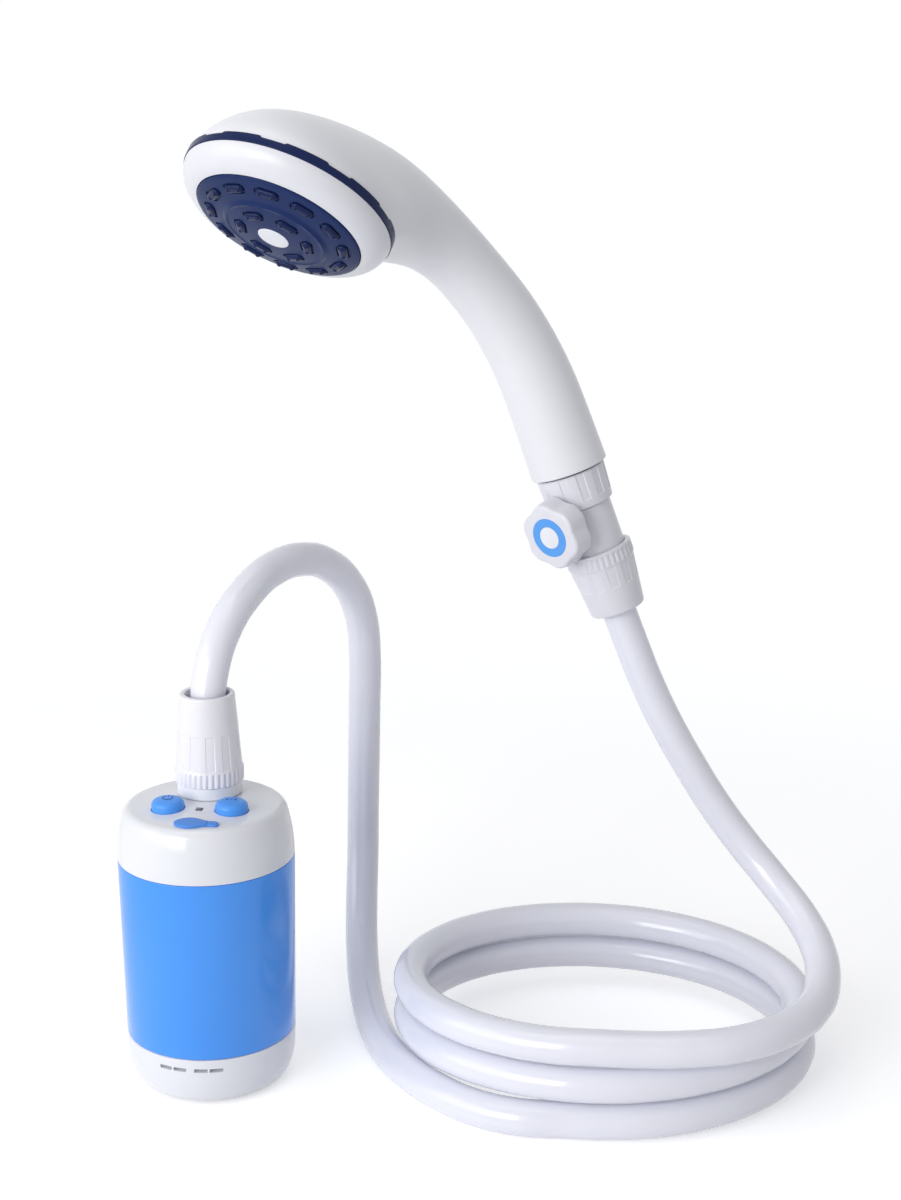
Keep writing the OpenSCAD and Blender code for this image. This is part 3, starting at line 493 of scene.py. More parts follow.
HANDSET_RUN = [
    (170, -40, 37), (188.5, -39, 37.5), (208.5, -33.5, 38), (225.5, -21, 38.5), (237, -4.5, 39.5),
    (242, 14, 42), (241.5, 32.5, 47.5), (235, 48.5, 55.5), (225, 60, 65), (212.5, 67.5, 78),
    (200, 70.5, 94), (189.5, 71, 110.5), (179.5, 71, 128), (171, 71, 145.5), (164.5, 70.5, 161.5),
    (158.3, 70, 177.7), (153.89, 69.78, 189.93)]


def coil_points():
    """Two loops of the hose, each climbing one pitch, from the front of the coil round to the right."""
    turns = [2 * pi * i / COIL_POINTS - pi / 2 for i in range(COIL_LOOPS * COIL_POINTS + 1)]
    return [(COIL_AT[0] + COIL_SEMI[0] * cos(a), COIL_AT[1] + COIL_SEMI[1] * sin(a),
             HOSE_D / 2 + COIL_PITCH * (a + pi / 2) / (2 * pi)) for a in turns]


def make_hose():
    """The hose: one cord from the pump, through the coil, to the handset."""
    route = PUMP_RUN + coil_points() + HANDSET_RUN
    curve = bpy.data.curves.new("hose", "CURVE")
    curve.dimensions = "3D"
    curve.bevel_depth = HOSE_D / 2 * MM
    curve.bevel_resolution = 8
    curve.resolution_u = 8
    curve.use_fill_caps = True
    spline = curve.splines.new("BEZIER")
    spline.bezier_points.add(len(route) - 1)
    for knot, point in zip(spline.bezier_points, route):
        knot.co = Vector(point) * MM
        knot.handle_left_type = knot.handle_right_type = "AUTO"
    curve.materials.append(FINISH["hose_pvc"])
    hose = bpy.data.objects.new("hose", curve)
    scene.collection.objects.link(hose)
    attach(hose, "pump")
    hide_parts("hose_pump_run", "hose_coil", "hose_handset_run")


make_hose()


# PUMP CASING

WALL = 2.4
SEAM = 0.3
NECK_R = FOOT_R - WALL + 1
NECK_T = 1.5


def make_base():
    """The base: a dished cup with water slits, small feet, a middle pad and a collar for the sleeve."""
    round_r, round_h = 6.4, 13
    draft, edge, floor_t = 0.3, 0.5, 2
    collar_gap, collar_t, collar_h = 0.4, 2.2, 4
    step_z = BASE_H - 3
    floor_r = FOOT_R - round_r
    round_z = FOOT_H + round_h
    inner = FOOT_R - WALL
    top = BASE_H - SEAM
    collar_r = inner - collar_gap
    shell = turned(
        [(0, FOOT_H)] + arc((floor_r, round_z), (round_r - draft, round_h), -90, 0, 16)
        + top_edge(FOOT_R, top, edge)
        + [(collar_r, top), (collar_r, top + collar_h), (collar_r - collar_t, top + collar_h),
           (collar_r - collar_t, step_z)]
        + arc((floor_r, round_z), (inner - floor_r, round_h - floor_t), 0, -90, 12)
        + [(0, FOOT_H + floor_t)], 192)
    sides, slit_turn = 3, -3.4
    slit_w, slit_h, slit_z = 5.2, 1.5, 16.8
    offsets = (0, 6, 14.5, 20.5)
    cutters = bmesh.new()
    for side in range(sides):
        for offset in offsets:
            turn = 360 / sides * side + slit_turn - 90 + (offset - offsets[-1] / 2) / FOOT_R * 180 / pi
            spot = place(turn=(0, 0, turn)) @ place((FOOT_R, 0, slit_z)) @ Matrix.Diagonal(
                (3 * WALL, slit_w, slit_h, 1))
            bmesh.ops.create_cube(cutters, size=1, matrix=spot)
    shell = joined(shell, cutters, "DIFFERENCE")
    feet, feet_turn, feet_r = 4, -8, floor_r - 3
    foot_round, sunk = 0.4, 0.6
    foot, pad = (turned([(0, 0)] + foot_edge(r, 0, foot_round, 3) + [(r, FOOT_H + sunk)], steps)
                 for r, steps in ((1.6, 24), (6, 48)))
    put(shell, foot, *[place(turn=(0, 0, 360 / feet * k + feet_turn)) @ place((feet_r, 0, 0))
                       for k in range(feet)])
    put(shell, pad, place())
    piece("base_cup", shell, place(), "base", "white_shell", "base_strainer")


def make_sleeve():
    """The sleeve: a wall that widens upward, and the neck that the cap fits over."""
    edge = 0.35
    neck_h, neck_foot, slope_foot = 6.4, 3, 4
    profile = (foot_edge(FOOT_R, BASE_H, edge) + top_edge(CASING_R, CAP_Z, edge)
               + [(NECK_R, CAP_Z), (NECK_R, CAP_Z + neck_h), (NECK_R - NECK_T, CAP_Z + neck_h),
                  (NECK_R - NECK_T, CAP_Z - neck_foot), (FOOT_R - WALL, CAP_Z - slope_foot),
                  (FOOT_R - WALL, BASE_H)])
    piece("sleeve_wall", turned(profile, 192, closed=True), place(), "pump", "blue_shell", "sleeve")


BUTTON_R = 6.35
BUTTON_AT = (12.4, -9.5)
BUTTON_GAP = 0.3
LED_AT = (0, -10.3)
LED_HALF = (1.3, 1.45)
LED_GAP = 0.1
STEM_HOLE_R = 7.95
PORT_HOLE = (9.8, 4.4)
TAB_PIN_X = 8.3
TAB_PIN_HOLE_R = 1.15
UNDER_Z = TOP_Z - 4.4


def make_cap():
    """The cap: a crowned lid with a soft shoulder, holed for the buttons, window, port and outlet."""
    rim, edge = CAP_Z + 0.12, 0.35
    across, down = 3.9, 4.6
    side_in, slant = 2.3, 15
    flat_r = CASING_R - side_in - across * cos(radians(slant))
    shoulder_z = crown_z(flat_r) - down
    side_h = shoulder_z + down * sin(radians(slant)) - CAP_Z
    crown = [(flat_r * i / 8, crown_z(flat_r * i / 8)) for i in range(8)]
    shoulder = arc((flat_r, shoulder_z), (across, down), 90, slant, 16)
    side = [(CASING_R - side_in * (1 - i / 12) ** 2, CAP_Z + side_h * (1 - i / 12)) for i in range(1, 12)]
    side += foot_edge(CASING_R, rim, edge)[::-1]
    fit_r = NECK_R + 0.05
    fit_z, step_z = CAP_Z + 7.5, CAP_Z + 9.5
    inside = [(fit_r, rim), (fit_r, fit_z), (fit_r - NECK_T, fit_z), (fit_r - NECK_T, step_z),
              (flat_r - 1, UNDER_Z), (0, UNDER_Z)]
    lid = turned(crown + shoulder + side + inside, 192)
    deep, above = UNDER_Z - 3, TOP_Z + 5
    cutters = bmesh.new()
    holes = [(place((s * BUTTON_AT[0], BUTTON_AT[1], 0)), BUTTON_R + BUTTON_GAP) for s in (-1, 1)]
    for where, r in holes + [(OUTLET, STEM_HOLE_R)]:
        put(cutters, rod(r, deep, above, 96), where)
    window = slab(rectangle(*(half + LED_GAP for half in LED_HALF)), above - deep, deep)
    put(cutters, window, place((*LED_AT, 0)))
    put(cutters, slab(stadium(*PORT_HOLE), 14, -7), PORT)
    put(cutters, rod(TAB_PIN_HOLE_R, -6, 6, 32), PORT @ place((TAB_PIN_X, 0, 0)))
    piece("cap_lid", joined(lid, cutters, "DIFFERENCE"), place(), "pump", "white_shell", "top_cap")


make_base()
make_sleeve()
make_cap()


# BUTTONS, INDICATOR AND CHARGING PORT

BUTTON_TOP = crown_z(hypot(*BUTTON_AT)) + 4.3
BUTTON_FOOT = UNDER_Z - 1.5
MARK_DEPTH = 0.5


def button_cap():
    """One button: a flange under the cap, an upright side and a soft domed top."""
    edge, dome = 2.3, 0.55
    flange_r, flange_z = BUTTON_R + 1, BUTTON_FOOT + 1.2
    flange = [(0, BUTTON_FOOT), (flange_r, BUTTON_FOOT), (flange_r, flange_z), (BUTTON_R, flange_z)]
    top = arc((BUTTON_R - edge, BUTTON_TOP - dome - edge), (edge, edge), 0, 72, 10)
    brow_r, brow_z = top[-1]
    crown = bend(top[-1], (brow_r - 1.2, brow_z + 0.38), (1.6, BUTTON_TOP), (0, BUTTON_TOP), 8)
    return turned(flange + top + crown[1:], 96)


def power_mark():
    """A ring open at the back with an upright bar in the gap."""
    ring_r, half, gap = 1.95, 0.24, radians(35)
    bar_half, bar_y = 0.9, 1.5
    ring = bmesh.new()
    section = rectangle(half, MARK_DEPTH / 2, ring_r, -MARK_DEPTH / 2)
    face = ring.faces.new([ring.verts.new((x, 0, z)) for x, z in section])
    bmesh.ops.rotate(ring, verts=ring.verts, cent=(0, 0, 0), matrix=Matrix.Rotation(pi / 2 + gap, 3, "Z"))
    bmesh.ops.spin(ring, geom=[face], cent=(0, 0, 0), axis=(0, 0, 1), angle=2 * pi - 2 * gap, steps=40)
    clean(ring)
    put(ring, slab(rectangle(half, bar_half, y=bar_y), MARK_DEPTH, -MARK_DEPTH), place())
    return ring


def mode_mark():
    """Three dots in a row."""
    dot_r, dot_top, pitch = 0.46, 0.05, 1.6
    dots = bmesh.new()
    put(dots, rod(dot_r, -MARK_DEPTH, dot_top, 20), *[place((pitch * k, 0, 0)) for k in (-1, 0, 1)])
    return dots


def make_buttons():
    mark_z = BUTTON_TOP + 0.02
    for s, body, name, mark in ((-1, "power_key", "power", power_mark), (1, "mode_key", "mode", mode_mark)):
        where = place((s * BUTTON_AT[0], BUTTON_AT[1], 0))
        piece(name + "_button_cap", button_cap(), where, body, "blue_button", name + "_button")
        piece(name + "_button_mark", mark(), where @ place((0, 0, mark_z)), body, "blue_button",
              finish=BUTTON_MARK)


def make_indicator():
    foot, top = UNDER_Z - 5.4, crown_z(LED_AT[1]) + 0.2
    lens = soften(slab(rectangle(*LED_HALF), top - foot, foot), 0.22, 3)
    piece("indicator_lens", lens, place((*LED_AT, 0)), "pump", "smoked_window", "led_window")


COVER_T = 1.0
COVER_LIFT = 0.15
COVER_EDGE = 0.3
HINGE_X = 5.9
HINGE_GAP = 0.3


def saddled(bm):
    """Cuts a plate into strips across X and bends it down to lie on the cap's crown."""
    for v in sliced(bm, range(-7, 12)).verts:
        v.co.z -= v.co.x ** 2 / (2 * CROWN_R)
    return bm


def make_port_cover():
    """The port's flap with its plug, the tail that stays on the cap, and a flat strip between them."""
    tip, belly, waist = (-6.9, 0), (-1.0, 3.9), (HINGE_X, 1.75)
    upper = (bend(tip, (-6.4, 2.0), (-3.8, 3.9), belly, 10)
             + bend(belly, (2.2, 3.9), (3.5, 1.95), waist, 10)[1:])
    outline = upper[:0:-1] + [(x, -y) for x, y in upper]
    flap = saddled(crowned(slab(outline, COVER_T, COVER_LIFT), COVER_EDGE))
    plug_low, plug_high = -1.6, COVER_LIFT + 0.2
    plug = stadium(PORT_HOLE[0] - 2, PORT_HOLE[1] - 1.2)
    put(flap, slab(plug, plug_high - plug_low, plug_low), place())
    piece("port_flap", flap, PORT, "flap", "blue_rubber", "port_cover")
    tail_x, tail_r, tail_end = HINGE_X + HINGE_GAP, 1.7, HINGE_X + 2.8
    outline = ([(tail_x, -tail_r)] + arc((tail_end, 0), (tail_r, tail_r), -90, 90, 12)
               + [(tail_x, tail_r)])
    tail = saddled(crowned(slab(outline, COVER_T - 0.1, COVER_LIFT), COVER_EDGE))
    put(tail, rod(TAB_PIN_HOLE_R - 0.05, -2, plug_high, 32), place((TAB_PIN_X, 0, 0)))
    piece("port_flap_tail", tail, PORT, "pump", "blue_rubber", "cover_tab")
    hinge_x = HINGE_X + HINGE_GAP / 2
    lap, half_width, strip_t = 0.55, 1.5, 0.45
    strip = slab(rectangle(lap, half_width, hinge_x), strip_t, COVER_LIFT + 0.25)
    sliced(strip, [hinge_x - lap + lap * i / 6 for i in range(1, 12)])
    hinge = piece("port_flap_hinge", strip, PORT, None, "blue_rubber")
    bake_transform(hinge)


make_buttons()
make_indicator()
make_port_cover()


# OUTLET AND NUTS

THREAD_R = 10.4
OUTLET_Z = crown_z(OUTLET_Y)
COLLAR_R = 12.7
COLLAR_H = 5
PUMP_NUT_Z = OUTLET_Z + COLLAR_H + SEAM
NUT_BORE_R = THREAD_R + 0.3
NUT_MOUTH_R = 8.7


def make_outlet():
    """The outlet: a stem through the cap, a plain collar and a threaded spigot with a bore."""
    low, top = OUTLET_Z - 16, PUMP_NUT_Z + 8
    bore, stem_r, edge = 4.0, 7.9, 0.4
    collar_foot, collar_top = OUTLET_Z + 0.35, OUTLET_Z + COLLAR_H
    pitch, root_r = 1.8, THREAD_R - 0.8
    thread = []
    z = collar_top
    while z + pitch < top:
        thread += [(root_r, z), (THREAD_R, z + pitch * 0.4), (THREAD_R, z + pitch * 0.6)]
        z += pitch
    outside = ([(bore, low), (stem_r, low), (stem_r, collar_foot)]
               + foot_edge(COLLAR_R, collar_foot, edge) + top_edge(COLLAR_R, collar_top, edge)
               + thread + [(root_r, top), (bore, top)])
    piece("outlet_collar", turned(outside, 128, closed=True), OUTLET, "pump", "outlet_plastic",
          "outlet_spigot")


def hose_nut(length, foot_r, mouth_r, shoulder_z, rim_r, rim_depth, flute_h, plain=0.0):
    """A hose nut from its foot up: plain edge, fine ribs, shallow finger flutes, taper and open mouth."""
    band = 6.0
    ribs, rib_depth, rib_share = 36, 0.6, 0.75
    flutes, flute_depth, flute_share, flute_shift = 12, 0.26, 0.54, 0.3
    edge, lip, mouth_edge = 0.45, 0.9, 0.5
    waist = foot_r - 0.5
    body_low = band + 0.5
    flute_top = body_low + flute_h
    slope = (waist - mouth_r) / (length - lip - body_low)

    def body_r(z):
        return waist - slope * (z - body_low)

    rows = [body_low, body_low + 0.3, flute_top - 0.25, flute_top, flute_top + 0.3]
    outside = (foot_edge(foot_r, 0, edge, 3)
               + [(foot_r, edge + plain), (foot_r, edge + plain + 0.3)]
               + [(foot_r, band - 0.9), (foot_r - 0.25, band - 0.3), (waist + 0.12, band)]
               + [(body_r(z), z) for z in rows]
               + top_edge(mouth_r, length, lip, 6)
               + arc((NUT_MOUTH_R + mouth_edge, length - mouth_edge), (mouth_edge, mouth_edge), 90, 180, 4))
    inside = [(NUT_MOUTH_R, shoulder_z), (NUT_BORE_R, shoulder_z), (NUT_BORE_R, rim_depth + 0.3),
              (rim_r, rim_depth), (rim_r, 0)]
    nut = turned(outside + inside, ribs * 8, closed=True)
    rib_low = edge + plain + 0.1 if plain else 0.2
    grooved(nut, ribs, rib_depth, rib_low, band - 0.8, rib_share, foot_r - 1, rounded=True)
    grooved(nut, flutes, flute_depth, body_low + 0.2, flute_top - 0.1, flute_share, mouth_r - 0.2,
            flute_shift)
    return nut


HANDSET_NUT_H = 26.8


def make_hose_nuts():
    pump_nut = hose_nut(length=35.4, foot_r=13.5, mouth_r=10.8, shoulder_z=13.3, rim_r=NUT_BORE_R,
                        rim_depth=1, flute_h=14.0)
    # the pump's nut wears the lighter copy of the nut white, which is painted light
    piece("pump_nut_skirt", pump_nut, OUTLET @ place((0, 0, PUMP_NUT_Z), (0, 0, 16)), "pump_nut",
          "white_nut", "pump_hose_nut", finish=PUMP_NUT_LIT_WHITE)
    handset_nut = hose_nut(length=HANDSET_NUT_H, foot_r=13.9, mouth_r=11.3, shoulder_z=14.1, rim_r=11.9,
                           rim_depth=2.1, flute_h=9.0, plain=0.8)
    piece("handset_nut_skirt", handset_nut, HANDSET @ place((0, 0, HANDSET_NUT_H), (180, 0, 0)),
          "handset_nut", "white_nut", "handset_hose_nut")


make_outlet()
make_hose_nuts()


# HANDSET: VALVE, KNOB AND UNION

BODY_U = 25
UNION_U = 45.9
VALVE_R = 11.6
BOSS_R = 4.4
BOSS_REACH = 14.1
KNOB_BACK = 14.7
KNOB_H = 9.5
KNOB_R = 14


def make_valve_body():
    """The valve: a tail for the hose nut, a plain barrel, a grooved neck and a bored boss for the stem."""
    bore, edge, tip = 2.7, 0.4, 0.5
    tail_low, barrel_top, neck_top = 18, UNION_U - SEAM, 50.5
    neck_r, groove_r = VALVE_R - 1, VALVE_R - 2
    groove_low, groove_high = 48.5, 50.1
    stem_bore, stem_deep, boss_low = 3.65, -8.2, 6
    barrel = turned(
        [(bore, tail_low), (THREAD_R - edge, tail_low), (THREAD_R, tail_low + edge), (THREAD_R, BODY_U)]
        + foot_edge(VALVE_R, BODY_U, edge) + top_edge(VALVE_R, barrel_top, edge)
        + [(neck_r, barrel_top), (neck_r, groove_low), (groove_r, groove_low), (groove_r, groove_high),
           (neck_r, groove_high), (neck_r, neck_top), (bore, neck_top)], 128, closed=True)
    boss = turned([(stem_bore, boss_low), (BOSS_R, boss_low)] + top_edge(BOSS_R, BOSS_REACH, tip)
                  + [(stem_bore, BOSS_REACH)], 64, closed=True)
    hole = rod(stem_bore, stem_deep, BOSS_REACH + 2, 64)
    for shape in (boss, hole):
        bmesh.ops.transform(shape, matrix=HANDSET.inverted() @ STEM, verts=shape.verts)
    valve = joined(joined(barrel, boss, "UNION"), hole, "DIFFERENCE")
    piece("valve_barrel", valve, HANDSET, "handset", "white_nut", "valve_body")


def make_knob():
    """The knob: six soft lobes with round edges, a printed ring and a centre disc in a shallow seat."""
    lobes, scallop = 6, 1.3
    front, back = 1.5, 0.9
    hole_r, seat_r, seat = 2.05, 8.15, 0.6
    profile = ([(hole_r, 0)] + foot_edge(KNOB_R, 0, back, 6) + [(KNOB_R - 0.1, KNOB_H / 2)]
               + top_edge(KNOB_R - 0.5, KNOB_H, front, 8)
               + [(seat_r, KNOB_H), (seat_r, KNOB_H - seat), (hole_r, KNOB_H - seat)])
    knob = turned(profile, 144, closed=True)
    for v in knob.verts:
        r = hypot(v.co.x, v.co.y)
        if r > seat_r + 1:
            wave = ((1 - cos(lobes * atan2(v.co.y, v.co.x))) / 2) ** 1.5
            v.co.xy *= 1 - scallop * wave / KNOB_R
    piece("knob_grip", knob, STEM @ place((0, 0, KNOB_BACK)), "valve", "white_nut", "valve_knob")
    face = STEM @ place((0, 0, KNOB_BACK + KNOB_H - seat))
    disc_r, disc_edge, disc_side, disc_h = 4.6, 0.25, 0.8, 0.85
    inner, outer, ring_h, chamfer = disc_r + 0.05, seat_r - 0.05, 0.7, 0.1
    ring = turned([(inner, 0), (outer, 0), (outer, ring_h - chamfer), (outer - chamfer, ring_h),
                   (inner + chamfer, ring_h), (inner, ring_h - chamfer)], 96, closed=True)
    piece("knob_printed_ring", ring, face, "valve", "ring_blue", "knob_ring")
    disc = turned([(0, 0), (disc_r, 0)] + top_edge(disc_r, disc_side, disc_edge) + [(0, disc_h)], 64)
    piece("knob_centre", disc, face, "valve", "white_shell", "knob_disc")


def make_union_nut():
    """The union nut: a plain lower band and twelve shallow flutes up to its top edge."""
    height, top_r, low_r = 14.6, 14.1, 13.2
    plain, edge = 3.4, 0.7
    bore, lip_r, lip_h = 11.7, 10.9, 2.3
    flutes, flute_depth, flute_share, flute_shift = 12, 0.36, 0.46, 0.1
    rise = (top_r - low_r) / height
    rows = [plain, plain + 0.3, 7, 10, height - 0.5]
    outside = (foot_edge(low_r, 0, edge, 5) + [(low_r + rise * z + 0.05, z) for z in rows]
               + [(top_r - 0.4, height)])
    nut = turned([(lip_r, 0)] + outside + [(bore, height), (bore, lip_h), (lip_r, lip_h)], 288, closed=True)
    grooved(nut, flutes, flute_depth, plain + 0.2, height + 0.1, flute_share, low_r - 0.4, flute_shift)
    piece("union_nut_grip", nut, HANDSET @ place((0, 0, UNION_U)), "union_nut", "white_nut",
          "union_nut_ring")


make_valve_body()
make_knob()
make_union_nut()


# HANDSET: HANDLE AND HEAD

HANDLE_U = 61.3
HANDLE_STRAIGHT = 28
HANDLE_BEND_R = 134
RIM_Z = 13.8
RIM_R = 40.4
PLATE_R = 31.7
BULGE = 4.1
PLATE_EDGE_Z = 1.4
TRIM_Z = 10.3
NOTCH_Z = RIM_Z - 0.75


def handle_station(along, r):
    """A round section of the handle: its under side, its outer side and its half width."""
    turn = max(0.0, along - HANDLE_STRAIGHT) / HANDLE_BEND_R
    up = HANDLE_U + min(along, HANDLE_STRAIGHT) + HANDLE_BEND_R * sin(turn)
    middle = Vector((HANDLE_BEND_R * (1 - cos(turn)), 0, up))
    side = Vector((cos(turn), 0, -sin(turn)))
    return middle + side * r, middle - side * r, r


def head_station(under, outer, half_width):
    """A section of the head, given in the head's frame, as the handle's stations are."""
    to_handset = HANDSET.inverted() @ HEAD
    return (to_handset @ Vector((under[0], 0, under[1])), to_handset @ Vector((outer[0], 0, outer[1])),
            half_width)


def make_handset_shell():
    """The handle and the head's back as one skin: round sections that lean over and widen into the rim."""
    # handle: distance along it and radius; head: under side, outer side and half width
    handle = [(0, 15.7), (3, 15.66), (10, 15.5), (20, 15.3), (32, 15.0), (44, 14.6), (55, 14.2), (65, 13.9),
              (75, 13.6)]
    head = [((-83, 18.6), (-82, 46.5), 13.4), ((-76.5, 20.6), (-65, 50.2), 13.8),
            ((-70.5, 21.8), (-48, 52.8), 14.9), ((-65.5, 22.2), (-31, 53.9), 17.0),
            ((-60.5, 22.0), (-14.5, 51.5), 20.0), ((-56, 20.9), (1, 47.0), 24.0),
            ((-52, 19.4), (15, 41.4), 28.4), ((-48.5, 18.2), (27, 34.3), 33.0),
            ((-45.3, 17.0), (34, 27.3), 36.4), ((-42.6, 15.8), (38.0, 20.8), 38.8),
            ((-41.0, 14.6), (40.0, 16.0), 40.0), ((-RIM_R, NOTCH_Z), (RIM_R, NOTCH_Z), RIM_R)]
    stations = [handle_station(*s) for s in handle] + [head_station(*s) for s in head]
    sides = 48
    bm = bmesh.new()
    rings = []
    for under, outer, half_width in stations:
        along = (outer - under) / 2
        across = Vector((0, half_width, 0))
        spot = Matrix.Identity(4)
        for column, axis in enumerate((along, across, along.cross(across).normalized())):
            spot.col[column][:3] = axis
        spot.col[3][:3] = (under + outer) / 2
        ring = bmesh.ops.create_circle(bm, segments=sides, radius=1, matrix=spot)["verts"]
        rings.append({e for v in ring for e in v.link_edges})
    for first, second in zip(rings, rings[1:]):
        bmesh.ops.bridge_loops(bm, edges=list(first | second))
    bmesh.ops.recalc_face_normals(bm, faces=bm.faces)
    shell = piece("handle_and_head", bm, HANDSET, "handset", "white_satin", "handset_shell", sharp=180)
    smooth = shell.modifiers.new("smooth", "SUBSURF")
    smooth.levels = smooth.render_levels = 2
    wall = shell.modifiers.new("wall", "SOLIDIFY")
    wall.thickness = WALL * MM
    wall.offset = -1
    rims = shell.modifiers.new("rims", "BEVEL")
    rims.width = 1.0 * MM
    rims.segments = 3
    rims.limit_method = "ANGLE"
    rims.angle_limit = radians(40)


def make_trim_ring():
    """The navy ring under the shell, with long low teeth that lap over the shell's edge."""
    teeth, tooth_share, tooth_shift, gap_share = 10, 0.6, 0.5, 0.05
    inner_r, out_r, lap_r = 35.4, RIM_R + 0.3, RIM_R + 0.06
    edge, chamfer = 0.35, 0.1
    seat_z = NOTCH_Z - 0.02
    profile = ([(inner_r, TRIM_Z)] + foot_edge(out_r, TRIM_Z, edge)
               + [(out_r, NOTCH_Z - chamfer), (out_r, RIM_Z - chamfer), (out_r - chamfer, RIM_Z),
                  (lap_r, RIM_Z), (lap_r, seat_z), (inner_r, seat_z)])
    ring = turned(profile, teeth * 30, closed=True)
    for v in ring.verts:
        part = (atan2(v.co.y, v.co.x) / (2 * pi) * teeth - tooth_shift) % 1.0
        if v.co.z > NOTCH_Z and part > tooth_share:
            v.co.z = NOTCH_Z + (v.co.z - NOTCH_Z) * gap_share
    piece("navy_trim", ring, HEAD, "handset", "navy", "trim_ring")


def make_bezel():
    """The white bezel: a full round band from the trim ring down to the spray plate."""
    lip_r, back_r, middle_r = PLATE_R + 0.3, PLATE_R - 2, PLATE_R - 1.3
    lip_z, top_z, band_lift = 4, TRIM_Z - 0.05, 0.9
    band = arc((middle_r, TRIM_Z + band_lift), (RIM_R - middle_r, TRIM_Z - band_lift), -80, -6, 24)
    profile = ([(lip_r, lip_z), (lip_r, band[0][1] + 0.3)] + band
               + [(RIM_R - 0.1, top_z), (back_r, top_z), (back_r, lip_z)])
    # the bezel wears the darker copy of the handset's satin white, which is painted shade
    piece("white_bezel", turned(profile, 192, closed=True), HEAD, "handset", "white_satin", "bezel",
          finish=BEZEL_SHADED_WHITE)


RIDGE_R = 19.3
RIDGE_H = 0.6
RIDGE_W = 0.75
PLATEAU_H = 0.6
PLATEAU_FADE = 0.3


def plate_z(r):
    """The plate's outer face: a shallow bulge, a plateau inside a ridge, and the ridge itself."""
    bulge = PLATE_EDGE_Z - BULGE * (1 - r * r / (PLATE_R * PLATE_R))
    plateau = PLATEAU_H / (1 + exp((r - RIDGE_R) / PLATEAU_FADE))
    ridge = RIDGE_H * exp(-(((r - RIDGE_R) / RIDGE_W) ** 2))
    return bulge - plateau - ridge


# Rows of nozzle bars: radius, number, length of a bar and turn in degrees
PADS = ((13, 6, 7.8, 19), (26, 12, 8.4, 18))
BAR_W = 3.6
BAR_H = 1.15
MOAT = 0.55


def pad_places():
    """Frames on the plate's face for the nozzle bars, lengthwise along the rings, with the bar's length."""
    for ring_r, count, length, turn in PADS:
        slope = atan2(plate_z(ring_r + 2) - plate_z(ring_r - 2), 4)
        lean = Matrix.Translation((ring_r, 0, plate_z(ring_r))) @ Matrix.Rotation(-slope, 4, "Y")
        for k in range(count):
            yield place(turn=(0, 0, turn + 360 * k / count)) @ lean @ place(turn=(180, 0, 90)), length


def nozzle_bar(length):
    """One raised bar with a soft top and a small bored nozzle near each end."""
    rounding, nub_in = 1.3, 1.75
    nub_r, nub_h, nub_z = 0.9, 0.6, BAR_H - 0.25
    hole_r, hole_z = 0.25, BAR_H - 0.1
    bar = mound(stadium(length, BAR_W, 12), -MOAT, BAR_H, rounding)
    nub = turned([(0, BAR_H - nub_h), (nub_r, BAR_H - nub_h)] + arc((0, nub_z), (nub_r, nub_h), 0, 72, 6)
                 + [(hole_r, hole_z), (0, hole_z)], 24)
    put(bar, nub, *[place((s * (length / 2 - nub_in), 0, 0)) for s in (-1, 1)])
    return bar


def make_spray_plate():
    """The navy plate with its ridge, and two rows of nozzle bars that stand in shallow moats."""
    thick, edge = 2.4, 0.5
    moat_l, moat_w, moat_top = 1.5, 1.4, 2
    rows = sorted([PLATE_R * i / 40 for i in range(1, 40)] + [RIDGE_R + 0.3 * i for i in range(-5, 6)])
    rim = arc((PLATE_R - edge, PLATE_EDGE_Z + 0.35), (edge, edge), -60, 0, 4)
    profile = ([(0, plate_z(0))] + [(r, plate_z(r)) for r in rows[:-1]] + rim
               + [(PLATE_R, PLATE_EDGE_Z + thick), (0, PLATE_EDGE_Z - BULGE + thick)])
    plate = turned(profile, 144)
    moats = bmesh.new()
    bars = bmesh.new()
    for spot, length in pad_places():
        moat = stadium(length + moat_l, BAR_W + moat_w, 12)
        put(moats, slab(moat, MOAT + moat_top, -MOAT), spot)
        put(bars, nozzle_bar(length), spot)
    piece("navy_plate", joined(plate, moats, "DIFFERENCE"), HEAD, "handset", "navy", "spray_plate",
          finish=NAVY_FACE)
    piece("nozzle_bars", bars, HEAD, "handset", "navy", "spray_nozzles")


def make_plate_cap():
    """The white cap in the plate's middle, a little domed."""
    low = PLATE_EDGE_Z - BULGE - 0.85
    cap_r, edge, high = 6, 0.3, low + 1.7
    dome_r = cap_r - edge
    dome = bend((0, low), (3, low), (5.4, low + 0.08), (dome_r, low + 0.2), 6)
    side = arc((dome_r, low + 0.5), (edge, edge), -70, 0, 4)
    cap = turned(dome + side + [(cap_r, high), (0, high)], 96)
    piece("plate_centre", cap, HEAD, "handset", "white_shell", "plate_cap")


make_handset_shell()
make_trim_ring()
make_bezel()
make_spray_plate()
make_plate_cap()


# INNER PIECES KEEP THEIR CAD SHAPE

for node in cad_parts.values():
    for spot in node.material_slots:
        spot.material = FINISH[spot.material.name.split(".")[0]]


# FLOOR, LIGHT AND BACKGROUND

FLOOR_MIDDLE = (0.1, 0.03, 0)
FLOOR_FADE = (0.25, 0.6)
FLOOR_GLOW = 0.42
LIGHT_STRENGTH = 0.39
SEEN_STRENGTH = 1.03
LAMP_AIM = (0.08, 0.0, 0.16)


def seen_directly(tree):
    """1 for what the camera sees straight, in a reflection or through glass, 0 for light on the object."""
    path = tree.nodes.new("ShaderNodeLightPath")
    seen = path.outputs["Is Camera Ray"]
    for ray in ("Is Glossy Ray", "Is Transmission Ray"):
        either = tree.nodes.new("ShaderNodeMath")
        either.operation = "MAXIMUM"
        tree.links.new(seen, either.inputs[0])
        tree.links.new(path.outputs[ray], either.inputs[1])
        seen = either.outputs["Value"]
    return seen


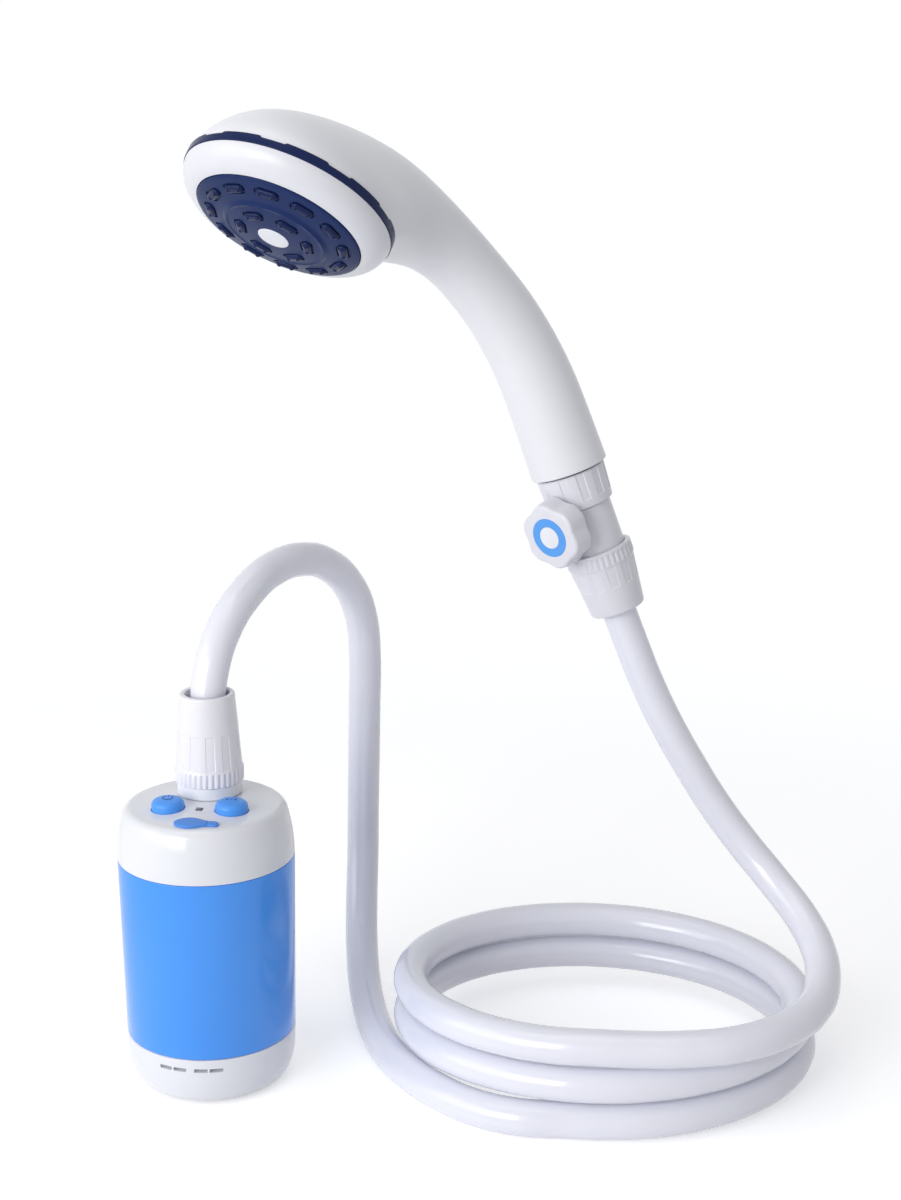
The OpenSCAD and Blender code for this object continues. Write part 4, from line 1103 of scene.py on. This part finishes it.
def make_floor():
    """A pale floor that takes the shadows, and that the camera sees fade into the white surround."""
    bm = bmesh.new()
    bmesh.ops.create_grid(bm, x_segments=2, y_segments=2, size=6)
    floor = to_object("floor", bm)
    material, tree, shader = new_finish("pale_floor")
    where = tree.nodes.new("ShaderNodeTexCoord").outputs["Object"]
    drift = ranged(tree, noise(tree, where, 3.0), 0.0, 1.0)
    tree.links.new(tinted(tree, drift, (0.93, 0.93, 0.94), (0.92, 0.92, 0.93)), shader.inputs["Base Color"])
    shader.inputs["Roughness"].default_value = 0.9
    shader.inputs["Specular IOR Level"].default_value = 0.1
    reach = tree.nodes.new("ShaderNodeVectorMath")
    reach.operation = "DISTANCE"
    reach.inputs[1].default_value = FLOOR_MIDDLE
    tree.links.new(where, reach.inputs[0])
    fade = tree.nodes.new("ShaderNodeMapRange")
    fade.interpolation_type = "SMOOTHSTEP"
    for socket, value in zip(("From Min", "From Max", "To Min", "To Max"), (*FLOOR_FADE, 1.0, 0.0)):
        fade.inputs[socket].default_value = value
    tree.links.new(reach.outputs["Value"], fade.inputs["Value"])
    seen = seen_directly(tree)
    opaque = tree.nodes.new("ShaderNodeMix")
    tree.links.new(seen, opaque.inputs["Factor"])
    opaque.inputs["A"].default_value = 1.0
    tree.links.new(fade.outputs["Result"], opaque.inputs["B"])
    tree.links.new(opaque.outputs["Result"], shader.inputs["Alpha"])
    glow = tree.nodes.new("ShaderNodeMath")
    glow.operation = "MULTIPLY"
    glow.inputs[1].default_value = FLOOR_GLOW
    tree.links.new(seen, glow.inputs[0])
    tree.links.new(glow.outputs["Value"], shader.inputs["Emission Strength"])
    shader.inputs["Emission Color"].default_value = (1, 1, 1, 1)
    floor.data.materials.append(material)


def make_world():
    """A soft pale surround: white to the camera and in reflections, dimmer as light on the object."""
    world = bpy.data.worlds.new("studio")
    scene.world = world
    world.use_nodes = True
    tree = world.node_tree
    back = tree.nodes["Background"]
    back.inputs["Color"].default_value = (0.97, 0.98, 1.0, 1)
    strength = tree.nodes.new("ShaderNodeMapRange")
    tree.links.new(seen_directly(tree), strength.inputs["Value"])
    strength.inputs["To Min"].default_value = LIGHT_STRENGTH
    strength.inputs["To Max"].default_value = SEEN_STRENGTH
    tree.links.new(strength.outputs["Result"], back.inputs["Strength"])


def make_lamp(name, at, aim, size, power):
    lamp = bpy.data.lights.new(name, "AREA")
    lamp.shape = "RECTANGLE"
    lamp.size, lamp.size_y = size
    lamp.energy = power
    made = bpy.data.objects.new(name, lamp)
    made.location = at
    made.rotation_euler = (Vector(aim) - Vector(at)).to_track_quat("-Z", "Y").to_euler()
    scene.collection.objects.link(made)


make_floor()
make_world()
make_lamp("left_softbox", (-1.45, -0.75, 0.7), LAMP_AIM, (1.2, 1.2), 7.5)
make_lamp("front_softbox", (-0.8, -1.5, 0.62), LAMP_AIM, (0.85, 0.95), 13.5)
make_lamp("top_softbox", (0.0, -0.1, 1.25), (0.08, 0.0, 0.1), (0.8, 0.8), 2)
scene.view_settings.view_transform = "Standard"
